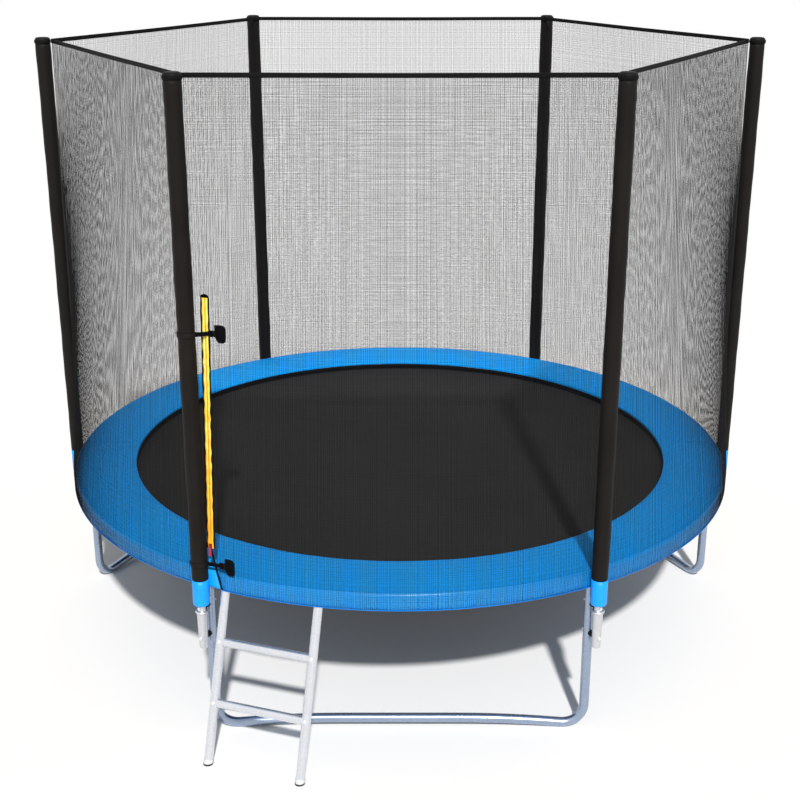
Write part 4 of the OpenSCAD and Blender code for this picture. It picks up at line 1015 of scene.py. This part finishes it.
strap = {"loop": 0.0292, "width": 0.014, "thick": 0.0016, "clipNear": 0.0022, "clipFar": 0.0072, "plug": 0.0163,
         "plugLong": 0.004, "tab": 0.0193, "tabLong": 0.036, "tabHigh": 0.056, "seam": 0.0046, "seamShare": 0.86}
clips = [("upper", np.array([-0.5728, -1.10033, 1.395]), np.array([0.976, -0.21778, 0])),
         ("lower", np.array([-0.5693, -1.12605, 0.634]), np.array([0.90052, -0.43482, 0]))]


def softBox(low, high, radius):
    # verts and faces of a box whose edges are rounded, in the clip's own frame
    low, high = np.array(low), np.array(high)
    work = bmesh.new()
    bmesh.ops.create_cube(work, size=1.0)
    for v in work.verts:
        v.co = (low + high) / 2 + np.array(v.co) * (high - low)
    bmesh.ops.bevel(work, geom=work.edges[:], offset=radius, segments=3, profile=0.6, affect="EDGES")
    work.verts.index_update()
    shape = [tuple(v.co) for v in work.verts], [tuple(v.index for v in f.verts) for f in work.faces]
    work.free()
    return shape


def tabOutline():  # rounded top, narrower foot, the corner beside the buckle slanted
    corners = [(0.0, 0.30), (0.02, 0.47), (0.16, 0.5), (0.62, 0.5), (0.86, 0.44), (0.99, 0.28), (1.0, 0.0),
               (0.97, -0.30), (0.88, -0.45), (0.7, -0.5), (0.42, -0.5), (0.26, -0.46), (0.08, -0.26), (0.0, -0.1)]
    return [(x * strap["tabLong"], z * strap["tabHigh"]) for x, z in roundLine(corners, 4, closed=True)]


def tabRing(share, y):  # the tab's outline drawn in towards its middle, at one depth
    outline = tabOutline()
    centre = np.mean(outline, axis=0)
    return [(strap["tab"] + centre[0] + (x - centre[0]) * share, y, centre[1] + (z - centre[1]) * share)
            for x, z in outline]


def tabShape():
    count = len(tabOutline())
    levels = [(0.0, 1.0), (0.5, 1.0), (0.85, 0.985), (1.0, 0.94)]
    nearY, farY = -strap["clipFar"] + 0.001, -strap["clipNear"] - 0.001
    middle, half = (nearY + farY) / 2, abs(farY - nearY) / 2
    rows = [(half * -s, k) for s, k in levels[::-1]] + [(half * s, k) for s, k in levels[1:]]
    verts = [v for y, k in rows for v in tabRing(k, middle + y)]
    faces = gridFaces(len(rows), count, closeColumns=True)
    for sign in (-1, 1):  # the padded faces, puffed towards the middle, drawn in by a quilting line
        previous = 0 if sign < 0 else (len(rows) - 1) * count
        for k, puff in ((0.86, 0.0006), (0.72, 0.0001), (0.5, 0.0009), (0.25, 0.0011)):
            start = len(verts)
            verts += tabRing(k, middle + sign * (half + puff))
            for i in range(count):
                n = (i + 1) % count
                faces.append((previous + i, previous + n, start + n, start + i))
            previous = start
        faces.append(tuple(previous + i for i in range(count)))
    return verts, faces


def toNet(origin, along, verts):
    v = np.asarray(verts, float)
    back = np.array([-along[1], along[0], 0])  # +y of the clip's frame points into the net
    return origin + v[:, :1] * along + v[:, 1:2] * back + v[:, 2:] * np.array([0, 0, 1.0])


near, far = -strap["clipFar"], -strap["clipNear"]
middleY = (near + far) / 2
plug = strap["plug"]
walls = [(near, near + 0.0012), (far - 0.0012, far)]
socketShapes = [softBox((0, low, -0.010), (0.0132, high, 0.010), 0.0005) for low, high in walls]
socketShapes.append(softBox((0, near + 0.0006, -0.010), (0.0048, far - 0.0006, 0.010), 0.0008))
for low, high in ((0.0083, 0.010), (-0.010, -0.0083)):
    socketShapes.append(softBox((0.0004, near + 0.0006, low), (0.0086, far - 0.0006, high), 0.0005))
socketShapes += [softBox((0.0128, low, -0.0086), (0.0158, high, 0.0086), 0.0005) for low, high in walls]
plugShapes = [softBox((plug, near, -0.010), (plug + strap["plugLong"], far, 0.010), 0.0009),
              softBox((plug - 0.010, middleY - 0.0008, -0.001), (plug + 0.001, middleY + 0.0008, 0.001), 0.0003)]
for height in (-0.0054, 0.0054):  # prongs with their finger rests
    plugShapes.append(softBox((plug - 0.010, middleY - 0.0009, height - 0.0017),
                              (plug + 0.001, middleY + 0.0009, height + 0.0017), 0.0006))
strapShapes, loopParts, tongueRows = [], [], []
strapSize = strap["width"], strap["thick"]
turn = np.linspace(-120, 120, 49)
for label, origin, along in clips:
    poleAt = polar(poles["circle"], poles["door"], float(origin[2]))
    loopOut = polar(1.0, poles["door"] + turn)
    loopPath = poleAt + loopOut * strap["loop"]
    loopPath[:, 2] += 0.0003 * sinD(turn * 5)
    loopParts.append(ribbon("strapPart", loopPath, upwards, loopOut, strapSize))
    leave = poleAt + 0.0285 * polar(1.0, poles["door"] + 100)
    out = np.array([along[1], -along[0], 0])
    arrive = origin - out * middleY + along * 0.002
    t = np.linspace(0, 1, 16)[:, None]
    side = np.cross((arrive - leave) / np.linalg.norm(arrive - leave), upwards)
    tongue = leave + (arrive - leave) * t + side * 0.0002 * np.sin(t * math.pi)
    strapShapes.append(takeShape(ribbon("strapPart", tongue, upwards, side, strapSize)))
    for dz in (-strap["seam"], strap["seam"]):
        tongueRows.append(tongue[2:-3] + side * (strap["thick"] / 2 + 0.0001) + np.array([0, 0, dz]))
    socketVerts, socketFaces = joinShapes(socketShapes)
    strapShapes.append((toNet(origin, along, socketVerts), socketFaces))
    tabVerts, tabFaces = tabShape()
    clipVerts, clipFaces = joinShapes(plugShapes)
    settle(faceOut(meshPiece(label + "Tab", toNet(origin, along, tabVerts), tabFaces, "tabCloth")),
           label + "_clip", "black_plastic")
    settle(faceOut(meshPiece(label + "Plug", toNet(origin, along, clipVerts), clipFaces, "blackPlastic")),
           label + "_clip", "black_plastic", "clip_" + label)
    seam = toNet(origin, along, tabRing(strap["seamShare"], near + 0.0002))
    sew(label + "TabStitches", [seam], "darkThread", (0.0045, 0.0004, 0.003), label + "_clip",
        "black_plastic", closed=True)
settle(meshPiece("doorStraps", *joinShapes(strapShapes), "tabCloth"), "frame", "webbing", "door_straps")
settle(gather("strapLoops", loopParts, "sleeveCloth"), "frame", "webbing")
sew("strapStitches", tongueRows, "darkThread", (0.0045, 0.00035, 0.003), "frame", "webbing")
print("straps and clips are on")
print("straps and clips are on")


# Floor, light and camera

ground = {"size": 9.0, "tone": (0.925, 0.913, 0.888, 1), "fade": (2.2, 3.5)}
floorMesh = bpy.data.meshes.new("floor")
floorMesh.from_pydata([(x * ground["size"], y * ground["size"], 0)
                       for x, y in ((-1, -1), (1, -1), (1, 1), (-1, 1))], [], [(0, 1, 2, 3)])
floor = addObject("floor", floorMesh)
floorPaint = Paint("floorPaint", 0.95, specular=0.0)
floorPaint.shader.inputs["Base Color"].default_value = ground["tone"]
tree, wire = floorPaint.tree, floorPaint.wire
fade = rangeNode(tree, lengthNode(tree, floorPaint.where), start=ground["fade"])
fade.interpolation_type = "SMOOTHSTEP"
seen = floorPaint.add("ShaderNodeLightPath").outputs["Is Camera Ray"]
white, blendIn = floorPaint.add("ShaderNodeEmission"), floorPaint.add("ShaderNodeMixShader")
wire(mathNode(tree, "MULTIPLY", fade.outputs["Result"], seen), blendIn.inputs["Fac"])
wire(floorPaint.shader.outputs[0], blendIn.inputs[1])
wire(white.outputs[0], blendIn.inputs[2])
wire(blendIn.outputs[0], tree.nodes["Material Output"].inputs["Surface"])
floorMesh.materials.append(floorPaint.material)

light = {"elevation": 43.0, "side": 6.0, "spread": 2.5, "strength": 3.7, "fill": 0.39,
         "fillColour": (1, 0.965, 0.9, 1)}
sunData = bpy.data.lights.new("sun", "SUN")
sunData.energy, sunData.angle = light["strength"], math.radians(light["spread"])
sun = addObject("sun", sunData)
sun.rotation_euler = (math.radians(90 - light["elevation"]), 0, math.radians(light["side"]))

world = bpy.data.worlds.new("studio")
world.use_nodes = True
bpy.context.scene.world = world
studio, wire = world.node_tree, world.node_tree.links.new
back = studio.nodes["Background"]
rays = studio.nodes.new("ShaderNodeLightPath").outputs
clear = mathNode(studio, "MAXIMUM", mathNode(studio, "MAXIMUM", rays["Is Camera Ray"], rays["Is Glossy Ray"]),
                 rays["Is Transmission Ray"])
wire(rangeNode(studio, clear, end=(light["fill"], 1.0)).outputs["Result"], back.inputs["Strength"])
tint = studio.nodes.new("ShaderNodeMix")
tint.data_type = "RGBA"
tint.inputs[6].default_value, tint.inputs[7].default_value = light["fillColour"], (1, 1, 1, 1)
wire(clear, tint.inputs["Factor"])
wire(tint.outputs[2], back.inputs["Color"])
bpy.context.scene.view_settings.view_transform = "Standard"

shot = {"lens": 60.3225, "sensor": 36.0, "place": (0, -4.9466, 2.5774), "tilt": 70.055}
cameraData = bpy.data.cameras.new("camera")
cameraData.lens, cameraData.sensor_width = shot["lens"], shot["sensor"]
camera = addObject("camera", cameraData)
camera.location, camera.rotation_euler = shot["place"], (math.radians(shot["tilt"]), 0, 0)
bpy.context.scene.camera = camera
